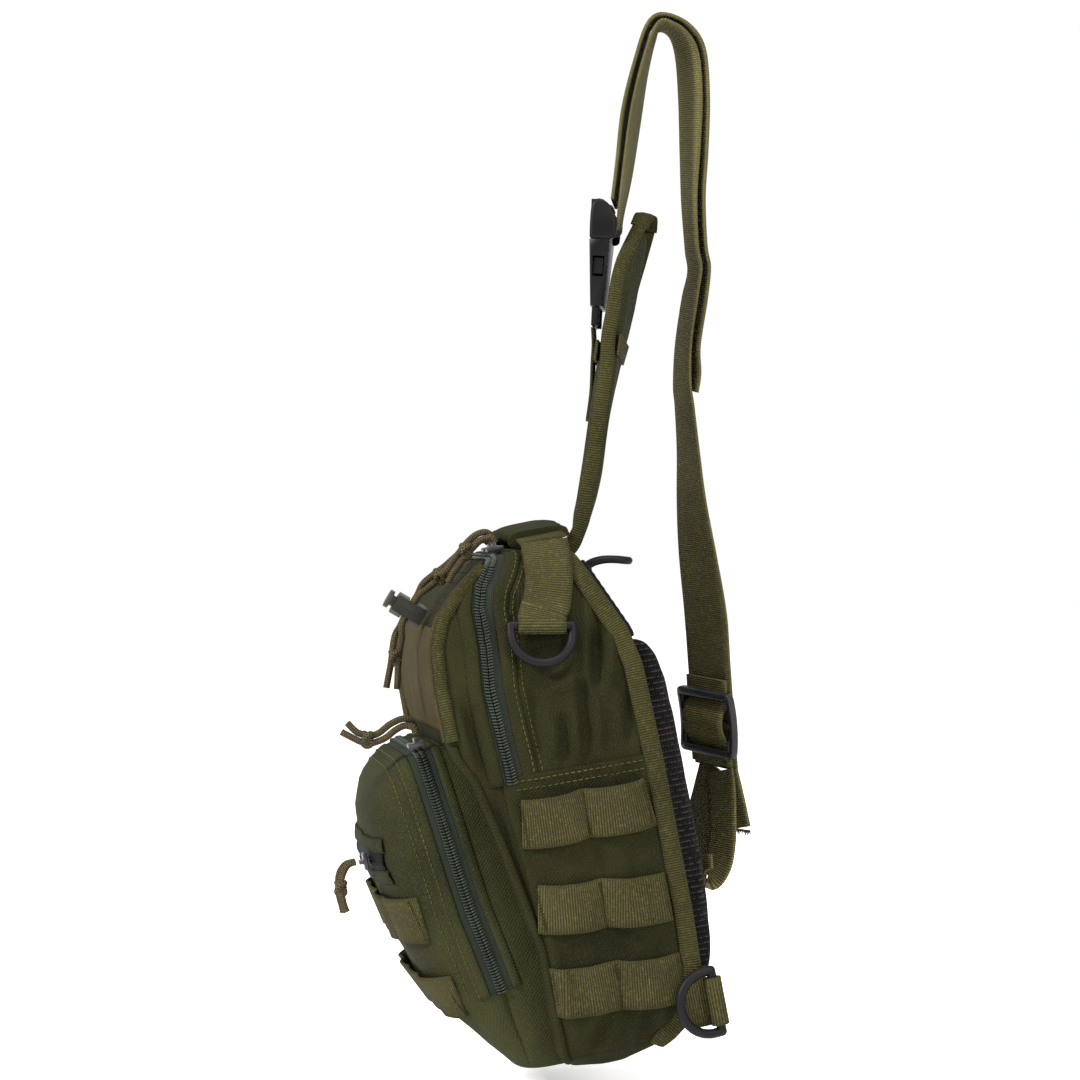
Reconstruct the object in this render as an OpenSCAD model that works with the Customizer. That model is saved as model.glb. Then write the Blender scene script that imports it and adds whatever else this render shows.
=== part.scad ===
// Sling bag hanging by its strap. Millimetres, +Z up, front of the bag towards -Y, wearer's side +Y.
// The origin is the hanging point: the inner side of the strap at the top of its loop.
// "Left" is the bag's own left, +X.

/* [Bag body] */
// Half width of the main compartment at its widest
body_half_w = 105; // [100:1:110]
// Height of the main compartment
body_h = 270; // [260:1:280]
// Depth of the main compartment at its deepest
body_d = 105.5; // [100:0.5:112]
// Thickness of the fabric shells with their lining
wall_t = 2; // [1.6:0.2:2.6]
// Height of the line where the main flap folds forward
flap_fold_z = 178; // [172:1:184]
// Lean of the hanging bag, top towards the front
lean = 11; // [6:1:14]

/* [Front pocket] */
// Half width of the front pocket
pocket_half_w = 82; // [74:1:88]
// Height of the axis that the pocket front folds about
pocket_fold_z = 2; // [1:0.5:2]

/* [Webbing] */
// Width of the sewn webbing rows
row_w = 25.4; // [24:0.2:27]
// Width of the shoulder strap webbing
strap_w = 38; // [36:0.5:40]
// Thickness of the strap webbing
strap_t = 1.6; // [1.4:0.1:2]
// Thickness of the row webbing
row_t = 1.8; // [1.4:0.1:2.2]

/* [Hardware] */
// Diameter of the ring bars
ring_bar_d = 5; // [4.5:0.1:5.5]
// Inside width of the rings
ring_in_w = 27; // [26:0.5:30]
// Diameter of the zip pull cord
cord_d = 3.6; // [3:0.1:4]
// Half width of the zip tapes
tape_half_w = 9; // [7:0.5:10]
// Half width of the zip coils
coil_half_w = 3.4; // [2.8:0.1:4]

/* [Hidden] */
$fn = 32;
// Where the bag's bottom back edge lies in the hanging frame
bag_y = 8;
bag_z = -540;
// Gap kept between pieces that move apart
gap = 0.3;

// ---------- outlines, in the bag's own frame: y is depth, 0 at the back panel, z is height ----------
ky = body_d / 105.5;
kz = body_h / 270;
kx = body_half_w / 105;
function sized(pts, a, b) = [for (p = pts) [p[0] * a, p[1] * b]];
main_side = sized([[-79, 8], [-73, 2], [-50, 0], [-28, 4], [-9, 18], [-1, 42], [0, 70], [0, 200], [-3, 218],
    [-9, 233], [-15, 248], [-20, 260], [-27, 266], [-58, 267], [-72, 262], [-85, 253], [-97, 241],
    [-103, 227], [-105.5, 207], [-105.5, 178], [-104, 170], [-98, 158], [-90, 121], [-85, 94], [-80, 66]], ky, kz);
half_front = sized([[92, 0], [100, 8], [105, 40], [105, 150], [97, 200], [87, 230], [80, 250], [73, 261],
    [65, 267]], kx, kz);
back_edge = sized([[-5, 26], [-1, 42], [0, 70], [0, 200], [-3, 218], [-9, 233], [-15, 248], [-20, 262], [-24, 276]],
    ky, kz);
front_edge_low = sized([[-79, 8], [-80, 66], [-85, 94], [-90, 121], [-98, 158], [-104, 170], [-105.5, 177]], ky, kz);
front_edge_high = sized([[-105.5, 179], [-105.5, 207], [-103, 227], [-97, 241], [-85, 253], [-73, 262]], ky, kz);
zip_line = sized([[-79, 158], [-79.5, 178], [-79, 202], [-76, 222], [-75, 243], [-71, 254], [-62, 264], [-55, 280]],
    ky, kz);
pocket_side = [[-100, 2], [-106, 10], [-132, 42], [-141, 68], [-146, 91], [-152, 120], [-151, 146], [-145, 162],
    [-136, 170], [-123, 174], [-114, 175]];
pocket_zip_line = [[-95, 12], [-102, 54], [-109, 91], [-113, 124], [-117, 161], [-118, 174]];
pocket_half = [[76, 2], [80, 12], [pocket_half_w, 50], [pocket_half_w, 140], [79, 160], [72, 172], [66, 176]];

function mirrored(half) = concat(half, [for (i = [len(half) - 1 : -1 : 0]) [-half[i][0], half[i][1]]]);
function reversed(pts) = [for (i = [len(pts) - 1 : -1 : 0]) pts[i]];
function band(line, a, b) = concat([for (p = line) [p[0] + a, p[1]]], reversed([for (p = line) [p[0] + b, p[1]]]));
function above(line, z) = [for (p = line) if (p[1] >= z) p];

// ---------- placing and extruding ----------
module hung() { translate([0, bag_y, bag_z]) rotate([lean, 0, 0]) children(); }
module across(w) { rotate([90, 0, 90]) translate([0, 0, -w / 2]) linear_extrude(w) children(); }
module deep(y0, y1) { translate([0, y1, 0]) rotate([90, 0, 0]) linear_extrude(y1 - y0) children(); }
module both_sides() {
    children();
    mirror([1, 0, 0]) children();
}
module main_form(grow) {
    intersection() {
        across(260) offset(delta = grow) polygon(main_side);
        deep(-140, 20) offset(delta = grow) polygon(mirrored(half_front));
    }
}
module main_skin(inner, outer) {
    difference() {
        main_form(outer);
        main_form(inner);
    }
}
module flap_zone(margin) {
    upper = above(zip_line, flap_fold_z);
    across(280) polygon(concat([[-140, flap_fold_z + margin]], [for (p = upper) [p[0] - margin, p[1] + margin]],
        [[-140, 280 * kz + margin]]));
}
module pocket_form(grow) {
    intersection() {
        across(200) offset(delta = grow) polygon(concat(pocket_side, [[-60, 175], [-60, 2]]));
        deep(-170, -60) offset(delta = grow) polygon(mirrored(pocket_half));
    }
}
module pocket_front_zone(margin) {
    across(220) polygon(concat([for (p = pocket_zip_line) [p[0] - margin, p[1]]], [[-118 - margin, 190], [-180, 190],
        [-180, -10], [-95 - margin, pocket_fold_z - 12]]));
}

// ---------- swept pieces: ribbons and cords ----------
function cross3(a, b) = [a[1] * b[2] - a[2] * b[1], a[2] * b[0] - a[0] * b[2], a[0] * b[1] - a[1] * b[0]];
function unit(v) = v / norm(v);
function blend4(a, b, c, d, t) = 0.5 * (2 * b + (c - a) * t + (2 * a - 5 * b + 4 * c - d) * t * t
    + (3 * b - a - 3 * c + d) * t * t * t);
function smooth(pts, steps) = concat([for (i = [0 : len(pts) - 2], s = [0 : steps - 1])
    blend4(pts[max(i - 1, 0)], pts[i], pts[i + 1], pts[min(i + 2, len(pts) - 1)], s / steps)], [pts[len(pts) - 1]]);
function place(p) = [p[0], p[1], p[2]];
function way(pts, i) = unit(place(pts[min(i + 1, len(pts) - 1)]) - place(pts[max(i - 1, 0)]));
function across_of(p) = unit([p[3], p[4], p[5]]);
// A ribbon station is its centre and the direction of its width.
function yawed(x, y, z, yaw) = [x, y, z, cos(yaw), sin(yaw), 0];
function ribbon_ring(p, t, w, h) = let (a = across_of(p), n = unit(cross3(t, a)), c = place(p))
    [c - a * w / 2 - n * h / 2, c + a * w / 2 - n * h / 2, c + a * w / 2 + n * h / 2, c - a * w / 2 + n * h / 2];
module loft(rings) {
    n = len(rings[0]);
    m = len(rings);
    pts = [for (r = rings) each r];
    sides = [for (i = [0 : m - 2], j = [0 : n - 1]) let (k = (j + 1) % n)
        [i * n + j, (i + 1) * n + j, (i + 1) * n + k, i * n + k]];
    polyhedron(pts, concat([[for (j = [0 : n - 1]) j]], sides, [[for (j = [n - 1 : -1 : 0]) (m - 1) * n + j]]),
        convexity = 8);
}
module ribbon(route, w, h, steps = 4) {
    pts = smooth(route, steps);
    loft([for (i = [0 : len(pts) - 1]) ribbon_ring(pts[i], way(pts, i), w, h)]);
}
function turned(n, t) = unit(n - t * (n * t));
module cord(route, d = cord_d, steps = 3) {
    pts = smooth(route, steps);
    last = len(pts) - 1;
    frames = [for (i = 0, n = turned([0.3, 0.2, 1], way(pts, 0)); i <= last;
        i = i + 1, n = i <= last ? turned(n, way(pts, i)) : n) n];
    loft([for (i = [0 : last]) let (n = frames[i], b = cross3(way(pts, i), n))
        [for (j = [0 : 7]) pts[i] + d / 2 * (n * cos(j * 45) + b * sin(j * 45))]]);
}

// ---------- main compartment ----------
module main_shell() {
    color("#3a3f22") hung() difference() {
        main_skin(-wall_t, 0);
        flap_zone(0);
    }
}
module back_sheet() {
    color("#4a4a44") hung() translate([-84, -wall_t - 5.2, 46]) cube([168, 4, 144]);
}
module back_pad() {
    color("#3b373d") hung() intersection() {
        across(176) polygon([[0, 70], [-1 + 0.2, 43], [-1 + 0.2, 24], [5, 24], [10, 44], [13, 70], [14, 90], [14, 188],
            [12, 204], [7, 214], [-2.4, 216], [0, 200]]);
        deep(-5, 20) polygon(mirrored([[72, 20], [84, 34], [88, 60], [88, 160], [82, 196], [72, 214], [60, 218]]));
    }
}
module body_binding() {
    color("#5f5c28") hung() {
        intersection() {
            deep(-19, 10) difference() {
                offset(delta = 3.4) polygon(mirrored(half_front));
                offset(delta = 0.2) polygon(mirrored(half_front));
            }
            across(240) polygon(band(above(back_edge, 40), -5, 3.5));
        }
        intersection() {
            deep(-120, -60) difference() {
                offset(delta = 2.6) polygon(mirrored(half_front));
                offset(delta = 1.6) polygon(mirrored(half_front));
            }
            across(240) polygon(band(front_edge_low, -1, 3));
        }
    }
}
module side_panels() {
    color("#34381e") hung() intersection() {
        main_skin(0.1, 1.4);
        across(260) polygon([[-75.5, 10], [-11, 26], [-8, 42], [-8, 153], [-75.5, 156]]);
    }
}
module main_zip_rear() {
    color("#363e38") hung() {
        difference() {
            intersection() {
                main_skin(0.1, 1.5);
                across(260) polygon(band(zip_line, 0.3, tape_half_w));
            }
            across(400) translate([-100, 140]) square([60, 18]);
        }
        intersection() {
            main_skin(1.6, 2.8);
            across(260) polygon(band(zip_line, 0.3, coil_half_w));
        }
        intersection() {
            main_skin(0.1, 1.5);
            across(260) polygon([[-79 - tape_half_w, 158], [-79, 158], [-79.4, 177.6], [-79.4 - tape_half_w, 177.6]]);
        }
    }
}
module main_zip_front() {
    upper = concat([[-79.6, flap_fold_z + 0.5]], above(zip_line, flap_fold_z + 1));
    color("#363e38") hung() {
        intersection() {
            main_skin(0.1, 1.5);
            across(260) polygon(band(upper, -tape_half_w, -gap));
        }
        intersection() {
            main_skin(1.6, 2.8);
            across(260) polygon(band(upper, -coil_half_w, -gap));
        }
    }
}
module flap_shell() {
    color("#3a3f22") hung() intersection() {
        main_skin(-wall_t, 0);
        flap_zone(gap);
    }
}
module flap_panel() {
    color("#44402a") hung() deep(-107.4 * ky, -105.6 * ky) polygon(mirrored([[70, 184], [84, 188], [84, 202], [78, 206]]));
}
module flap_binding() {
    color("#5f5c28") hung() intersection() {
        deep(-130, -50) difference() {
            offset(delta = 2.8) polygon(mirrored(half_front));
            offset(delta = 1.6) polygon(mirrored(half_front));
        }
        across(240) polygon(band(front_edge_high, -1, 5.5));
    }
}

// ---------- front pocket ----------
module pocket_cavity() {
    pocket_form(-wall_t);
}
module pocket_gusset() {
    color("#3f4426") hung() difference() {
        pocket_form(0);
        pocket_cavity();
        main_form(0.1);
        pocket_front_zone(0);
    }
}
module pocket_shell() {
    color("#4b5030") hung() difference() {
        intersection() {
            pocket_form(0);
            pocket_front_zone(gap);
        }
        pocket_cavity();
    }
}
module pocket_skin(inner, outer) {
    difference() {
        pocket_form(outer);
        pocket_form(inner);
    }
}
module pocket_zip_rear() {
    color("#363e38") hung() {
        upper = above(pocket_zip_line, 50);
        intersection() {
            pocket_skin(0.1, 1.4);
            across(220) polygon(band(concat(upper, [[-118, 190]]), 0.3, 7));
        }
        intersection() {
            pocket_skin(1.5, 2.6);
            across(220) polygon(band(concat(upper, [[-118, 190]]), 0.3, coil_half_w));
        }
    }
}
module pocket_zip_front() {
    color("#363e38") hung() {
        upper = above(pocket_zip_line, 50);
        intersection() {
            pocket_skin(0.1, 1.4);
            across(220) polygon(band(concat(upper, [[-118, 190]]), -7, -gap));
        }
        intersection() {
            pocket_skin(1.5, 2.6);
            across(220) polygon(band(concat(upper, [[-118, 190]]), -coil_half_w, -gap));
        }
    }
}
module slit_zip() {
    color("#22241f") hung() intersection() {
        pocket_skin(0.1, 1.4);
        translate([-62, -170, 116]) cube([124, 40, 13]);
    }
}
module front_webbing() {
    color("#625c3a") hung() for (z = [77, 34]) intersection() {
        pocket_skin(0.1, 0.1 + row_t);
        translate([-74, -170, z]) cube([148, 62, row_w]);
    }
}

// ---------- side webbing rows and rings ----------
function row_bow(y) = 1.7 + 2.4 * abs(sin((y + 74) / 31.5 * 180));
row_curve = [for (y = [-74 : 5.25 : -11]) [y, row_bow(y)]];
module side_row(z, slope) {
    color("#6a6440") hung() both_sides() translate([body_half_w, -42.5, z]) rotate([slope, 0, 0])
        translate([0, 42.5, -row_w / 2]) linear_extrude(row_w)
            polygon([for (p = concat([for (p = row_curve) [p[1], p[0]]], reversed([for (p = row_curve)
                [p[1] + row_t, p[0]]]))) p]);
}
module side_webbing_upper() { side_row(131, -1.5); }
module side_webbing_middle() { side_row(84, -6); }
module side_webbing_lower() { side_row(41, -5); }

// The upper rings hang level, so their bars lie along Y of the hanging frame.
ring_reach = 20;
upper_ring_at = [93.5, -46, 229];
lower_ring_at = [109.6, 4, 23];
module d_ring() {
    r = ring_in_w / 2 + ring_bar_d / 2;
    rotate([90, 0, 0]) translate([0, 0, -r]) cylinder(h = 2 * r, d = ring_bar_d);
    for (s = [-1, 1]) translate([0, s * r, -(ring_reach - r)]) cylinder(h = ring_reach - r, d = ring_bar_d);
    for (s = [-1, 1]) translate([0, s * r, 0]) sphere(d = ring_bar_d);
    translate([0, 0, -(ring_reach - r)]) rotate([0, 90, 0]) rotate([0, 0, -90]) rotate_extrude(angle = 180)
        translate([r, 0]) circle(d = ring_bar_d);
}
module sleeve(long) {
    rotate([90, 0, 0]) translate([0, 0, -long / 2]) difference() {
        cylinder(h = long, d = ring_bar_d + 3.8);
        translate([0, 0, -1]) cylinder(h = long + 2, d = ring_bar_d + 0.3);
    }
}
module at_upper_ring() { hung() translate(upper_ring_at) rotate([-lean, 0, 0]) rotate([0, -18, 0]) children(); }
module at_lower_ring() { hung() translate(lower_ring_at) rotate([-90, 0, 0]) rotate([0, -12, 0]) children(); }
module ring_upper_left() { color("#2c272c") at_upper_ring() d_ring(); }
module ring_upper_right() { color("#2c272c") mirror([1, 0, 0]) at_upper_ring() d_ring(); }
module ring_lower_left() { color("#2c272c") at_lower_ring() d_ring(); }
module ring_lower_right() { color("#2c272c") mirror([1, 0, 0]) at_lower_ring() d_ring(); }
module ring_loops_upper() {
    color("#6a6440") both_sides() {
        at_upper_ring() sleeve(25);
        hung() ribbon([[67.6, -33, 269.6, 0, 1, 0], [75, -34, 262.8, 0, 1, 0], [82.4, -36, 251.8, 0, 1, -0.05],
            [88, -40, 241, 0, 1, -0.12], [93, -45, 233, 0, 1, -0.19]], 25, 2.6);
    }
}
module ring_loops_lower() {
    color("#6a6440") both_sides() {
        at_lower_ring() sleeve(25);
        hung() translate([body_half_w + 1.7, -10.9, 10.5]) cube([2.6, 11.8, 25]);
    }
}

// ---------- handle ----------
handle_route = [[-66, -33, 271.6, 0, 1, 0], [-52, -33, 273.4, 0, 1, 0], [-28, -33, 276, 0, 1, 0],
    [0, -33, 277, 0, 1, 0], [28, -33, 276, 0, 1, 0], [52, -33, 273.4, 0, 1, 0], [66, -33, 271.6, 0, 1, 0]];
wrap_route = [for (i = [1 : 5]) handle_route[i]];
module handle_webbing() {
    color("#6a6440") hung() {
        ribbon(handle_route, 25, 1.8);
        both_sides() translate([56, -45.5, 267.2]) cube([9, 25, 4.4]);
    }
}
module handle_wrap() {
    color("#3a3f22") hung() difference() {
        ribbon(wrap_route, 30, 6.5);
        ribbon(handle_route, 25.6, 2.3);
    }
}

// ---------- rear compartment zip ----------
module rear_zip() {
    color("#1c1b1c") hung() intersection() {
        main_skin(0.1, 1.6);
        deep(-24, 10) difference() {
            offset(delta = -11) polygon(mirrored(half_front));
            offset(delta = -21) polygon(mirrored(half_front));
        }
        across(240) polygon([[-24, 256], [4, 256], [4, 219], [-24, 219]]);
    }
}
module rear_puller() {
    color("#161516") hung() translate([50, -16.3, 251]) {
        rotate([20, 0, 0]) translate([-5, 2.2, -5]) cube([10, 4, 10]);
        translate([0, 4.5, 0]) rotate([-7, 0, 0]) {
            translate([-3.6, 0, 0]) cube([7.2, 20, 3.6]);
            translate([0, 20, 0]) cylinder(h = 3.6, d = 9.4);
        }
    }
}

// ---------- zip sliders, pulls and cords ----------
module slider_body() {
    translate([-5, -4.5, 0]) cube([10, 9, 2.2]);
    translate([-4, -1, 2.2]) cube([8, 2, 2.4]);
}
module at_main_slider(x) { hung() translate([x, -56.4, 270.1]) children(); }
module main_slider_left() { color("#6e6a6c") at_main_slider(44) slider_body(); }
module main_slider_right() { color("#6e6a6c") at_main_slider(26) slider_body(); }
// Cord routes run from the slider's eye to the knot and on to the tails.
left_pull_route = [[44, -99, -281], [44, -102, -277.5], [44, -107.5, -278.5], [44, -112.5, -283],
    [44, -117, -288.5], [44, -121.5, -294.5], [44, -126, -300.5]];
right_pull_route = [[26, -99, -281], [26, -104, -280], [26, -110, -284], [26, -116, -289.5], [26, -122, -295],
    [26, -128.5, -300], [26, -134.5, -305], [26, -139.2, -311.2], [26, -142.7, -317.3], [26, -146.2, -323.4],
    [26, -148.6, -332], [26, -150, -341], [26, -151, -350], [26, -152, -359]];
function shifted(route, dx) = [for (p = route) p + [dx, 0, 0]];
module twin_cords(route) {
    for (s = [-1, 1]) cord(shifted(route, s * cord_d * 0.6));
}
module pull_cord_left() { color("#554b32") twin_cords(left_pull_route); }
module pull_cord_right() { color("#554b32") twin_cords(right_pull_route); }
module knot_at(p, d) { translate(p) rotate([35, 0, 0]) { sphere(d = d); translate([0, 0, 3]) sphere(d = d * 0.9); } }
module pull_knot_left() { color("#554b32") knot_at([44, -114.5, -285.5], 9.4); }
module pull_knots_right() {
    color("#554b32") {
        knot_at([26, -126.5, -299], 9.4);
        knot_at([26, -150.2, -342], 9.4);
    }
}
module at_cord_lock() { translate([26, -142.7, -317.3]) rotate([-120, 0, 0]) children(); }
module cord_lock_barrel() {
    color("#2b2a22") at_cord_lock() difference() {
        translate([0, 0, -9]) cylinder(h = 17.4, d = 12.4, $fn = 8);
        translate([0, 0, -10]) cylinder(h = 7, d = 6.4);
        translate([-4.4, -10, -2.6]) cube([8.8, 20, 5.2]);
    }
}
module cord_lock_plunger() {
    color("#55534e") at_cord_lock() {
        translate([0, 0, -10]) cylinder(h = 5, d = 6);
        translate([0, 0, -13.6]) cylinder(h = 2.4, d = 10);
        translate([0, 0, -11.3]) cylinder(h = 2, d = 6);
    }
}
module at_pocket_slider() { hung() translate([60, -118.4, 178]) children(); }
module pocket_slider() { color("#77737a") at_pocket_slider() slider_body(); }
pocket_pull_route = [[60, -142.5, -381], [60, -144, -377], [60, -148.5, -375], [60, -154.5, -377.5],
    [60, -160.5, -382], [60, -167, -384], [60, -173.5, -382], [60, -180, -377.5]];
module pocket_pull_cord() { color("#554b32") twin_cords(pocket_pull_route); }
module pocket_pull_knots() { color("#554b32") knot_at([60, -168, -383.5], 9.4); }
module at_slit_slider() { hung() translate([40, -153.6, 122.5]) rotate([90, 0, 0]) children(); }
module slit_slider() { color("#77737a") at_slit_slider() slider_body(); }
slit_pull_route = [[40, -172.6, -449.5], [40, -177, -451], [40, -180, -455.5], [40, -181, -462], [40, -180, -469],
    [40, -178, -476]];
module slit_pull_cord() { color("#554b32") twin_cords(slit_pull_route); }

// ---------- shoulder pad ----------
pad_route = [yawed(0, -61, -290, -6), yawed(0, -52, -283, -6), yawed(0, -46, -271, -8), yawed(0, -41, -249, -10),
    yawed(0, -36, -213, -9), yawed(0, -30.5, -183, -12), yawed(0, -26, -162, -15), yawed(0, -20, -134, -18),
    yawed(0, -11.5, -110, -18)];
pad_widths = [40, 44, 48, 56, 60, 62, 62, 56, 30];
pad_t = 8;
module pad_form(grow, thick) {
    pts = smooth(pad_route, 4);
    wid = smooth([for (w = pad_widths) [w, 0, 0]], 4);
    loft([for (i = [0 : len(pts) - 1]) ribbon_ring(pts[i], way(pts, i), wid[i][0] + 2 * grow, thick)]);
}
module shoulder_pad() { color("#3f4426") pad_form(0, pad_t); }
module pad_binding() {
    color("#5f5c28") difference() {
        pad_form(2.2, 3.4);
        pad_form(0.1, 9);
    }
}
// A station beside the pad, towards its outer face.
function beside(p, d) = [p[0] - d * sin(12), p[1] - d * cos(12), p[2] - d * 0.22, p[3], p[4], p[5]];
module pad_band() {
    color("#6a6440") ribbon([beside(pad_route[5], 5.4), beside((pad_route[5] + pad_route[6]) / 2, 5.3)], 60, 1.6, 2);
}
module pad_webbing() {
    color("#6a6440") ribbon([beside(pad_route[4], 5.6), beside((pad_route[4] + pad_route[5]) / 2, 6),
        yawed(-1, -38.6, -184, -12), yawed(-1, -38, -174, -12), yawed(-1, -38.4, -166.4, -12)], 25, 1.6, 3);
}

// ---------- side release buckle ----------
module at_buckle() { translate([0, -34.6, -118]) rotate([-3, 0, -12]) children(); }
// The socket's mouth is at z = 0 and it reaches down; the plug enters from above.
module buckle_socket() {
    color("#191716") at_buckle() {
        difference() {
            translate([-24, -5.5, -36]) cube([48, 11, 36]);
            translate([-21.5, -3.2, -27]) cube([43, 6.4, 30]);
            for (s = [-1, 1]) translate([s * 24 - 4, -3.2, -20]) cube([8, 6.4, 11]);
        }
        translate([-14, -3.5, -40]) cube([28, 2.4, 5]);
        for (s = [-1, 1]) translate([s * 15.5 - 1.5, -4.5, -46]) cube([3, 7, 10.5]);
        translate([-15.5, -2.6, -45]) rotate([0, 90, 0]) cylinder(h = 31, d = 3.6);
    }
}
module buckle_plug() {
    color("#1f1b19") at_buckle() {
        translate([-23.5, -5, 0.3]) cube([47, 10, 4.2]);
        translate([-23.5, -5.4, 4.3]) cube([47, 6.4, 17.2]);
        for (s = [-1, 1]) translate([s * 21.7 - 1.6, 0.8, 4.3]) cube([3.2, 7.8, 7.2]);
        translate([-21, 6.2, 8.5]) rotate([0, 90, 0]) cylinder(h = 42, d = 4);
        translate([-2.5, -2.4, -22]) cube([5, 4.8, 23]);
    }
}
module latch() {
    translate([14.5, -2.4, -19]) cube([3, 4.8, 19]);
    translate([17.2, -2.6, -18.5]) cube([5.6, 5.2, 8.5]);
}
module latch_left() { color("#1f1b19") at_buckle() latch(); }
module latch_right() { color("#1f1b19") at_buckle() mirror([1, 0, 0]) latch(); }

// ---------- strap ----------
strap_route = [yawed(1.2, -28.8, -99.3, -12), yawed(0.9, -30.3, -105.7, -12), yawed(0.8, -31, -109.7, -12),
    yawed(0.9, -30.3, -111.8, -12), yawed(1.3, -28.3, -112.8, -12), yawed(1.8, -26.2, -112, -12),
    yawed(2, -25.2, -110, -12), yawed(2.1, -24.9, -105.5, -12), yawed(2, -23.9, -98, -13), yawed(1.2, -20.5, -78, -16),
    yawed(0.3, -15.9, -48, -17), yawed(0, -10.8, -22, -14), yawed(0, -5.2, -3.4, -11), yawed(0, 0, strap_t / 2, -8),
    yawed(0, 7.6, -3.6, 0), yawed(-1, 12.8, -15, 7), yawed(-3, 15, -38, 8), yawed(-6, 15.3, -66, 5),
    yawed(-9, 15.4, -92, 1), yawed(-11.5, 17.3, -118, -1), yawed(-13, 19.4, -131, 0), yawed(-14.5, 17, -146, 2),
    yawed(-17, 13.8, -171, 2), yawed(-19, 13.4, -193, 3), yawed(-20.5, 15, -206, 4), yawed(-23, 17.6, -231, 7),
    yawed(-26, 20, -258, 13), yawed(-30, 24.2, -288, 21), yawed(-34, 29.3, -320, 26), yawed(-38, 32.2, -349, 26),
    yawed(-42, 35.1, -378, 26), yawed(-46, 38, -407, 26)];
module strap_webbing() { color("#787348") ribbon(strap_route, strap_w, strap_t, 3); }
// The doubled layer outside the first one, from the plug's bar over the top to its stitched end.
return_route = [yawed(1.1, -28, -96.8, -13), yawed(0.8, -24.4, -76, -16), yawed(0.2, -20.8, -48, -17),
    yawed(0, -15.4, -22, -14), yawed(0, -8.8, -0.4, -11), yawed(0, 0, 4.4, -8), yawed(0, 10.2, -0.6, 0),
    yawed(-1, 16.6, -13, 7), yawed(-3, 19, -38, 8), yawed(-6, 19.7, -66, 5), yawed(-9, 20.3, -92, 0),
    yawed(-11.5, 22.4, -118, -2), yawed(-13, 24.4, -131, -1), yawed(-14.5, 22.4, -148, 1), yawed(-17, 18.6, -173, 2),
    yawed(-18.5, 18.8, -188, 3), yawed(-19.5, 17.8, -197, 3)];
module strap_return() { color("#787348") ribbon(return_route, strap_w, strap_t, 3); }
lower_route = [yawed(-46.2, 38.4, -408, 26), yawed(-51, 34.8, -423, 22), yawed(-58, 31.4, -441, 18),
    yawed(-67, 30.2, -463, 10), yawed(-77, 30.2, -484, 4), [-83, 27, -501, 0.95, 0, -0.3], [-86, 16, -511, 0.9, 0, -0.44],
    [-88, 3.5, -514, 0.9, 0, -0.44]];
module strap_lower() { color("#6f6a44") ribbon(lower_route, strap_w - 6, strap_t, 3); }
tail_route = [yawed(-39.5, 38.6, -409, 24), yawed(-38, 39.6, -420, 24), yawed(-36.5, 39.6, -434, 24),
    yawed(-36, 39.2, -448, 24), yawed(-36, 37, -461, 24), yawed(-37, 32, -469.5, 24), yawed(-39, 27.8, -467, 24),
    yawed(-40, 26.8, -456, 24)];
module strap_tail() { color("#6f6a44") ribbon(tail_route, 25, strap_t, 3); }

// The triglide's bars lie in front of the strap, and the sewn loop wraps its middle bar.
triglide_z = -381;
strap_low = strap_route[len(strap_route) - 1];
strap_high = strap_route[len(strap_route) - 4];
strap_up = unit(place(strap_high) - place(strap_low));
triglide_yaw = 26;
lean_back = asin(strap_up * [sin(triglide_yaw), -cos(triglide_yaw), 0]);
lean_side = asin(strap_up * [cos(triglide_yaw), sin(triglide_yaw), 0] / cos(lean_back));
module at_triglide() {
    translate(place(strap_low) + strap_up * (triglide_z - strap_low[2]) / strap_up[2])
        rotate([0, 0, triglide_yaw]) rotate([lean_back, lean_side, 0]) children();
}
module cross_bar(y, z, d, long) { translate([-long / 2, y, z]) rotate([0, 90, 0]) cylinder(h = long, d = d); }
module triglide() {
    color("#3a3639") at_triglide() {
        for (s = [-1, 1]) translate([s * 22 - 1.6, -8, -17]) cube([3.2, 10, 34]);
        for (z = [-15, 15]) cross_bar(-6.1, z, 3.4, 44);
        cross_bar(-4.7, 0, 3.4, 44);
    }
}
module triglide_loop() {
    color("#787348") at_triglide() difference() {
        union() {
            cross_bar(-4.7, 0, 6.9, 37);
            translate([-18.5, -4.2, 0]) cube([37, 3.1, 25]);
        }
        cross_bar(-4.7, 0, 3.7, 39);
    }
}

main_shell();
back_sheet();
back_pad();
body_binding();
main_zip_rear();
side_panels();
side_webbing_upper();
side_webbing_middle();
side_webbing_lower();
handle_webbing();
handle_wrap();
ring_loops_upper();
ring_loops_lower();
ring_upper_left();
ring_upper_right();
ring_lower_left();
ring_lower_right();
rear_zip();
rear_puller();
flap_shell();
flap_panel();
flap_binding();
main_zip_front();
main_slider_left();
main_slider_right();
pull_cord_left();
pull_knot_left();
pull_cord_right();
pull_knots_right();
cord_lock_barrel();
cord_lock_plunger();
pocket_gusset();
pocket_zip_rear();
pocket_shell();
pocket_zip_front();
pocket_slider();
pocket_pull_cord();
pocket_pull_knots();
slit_zip();
slit_slider();
slit_pull_cord();
front_webbing();
shoulder_pad();
pad_binding();
pad_band();
pad_webbing();
buckle_socket();
buckle_plug();
latch_left();
latch_right();
strap_webbing();
strap_return();
strap_lower();
strap_tail();
triglide();
triglide_loop();
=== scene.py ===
import math
import random

import bmesh
import bpy
import numpy as np
from mathutils import Matrix, Vector, noise
from mathutils.bvhtree import BVHTree


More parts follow.
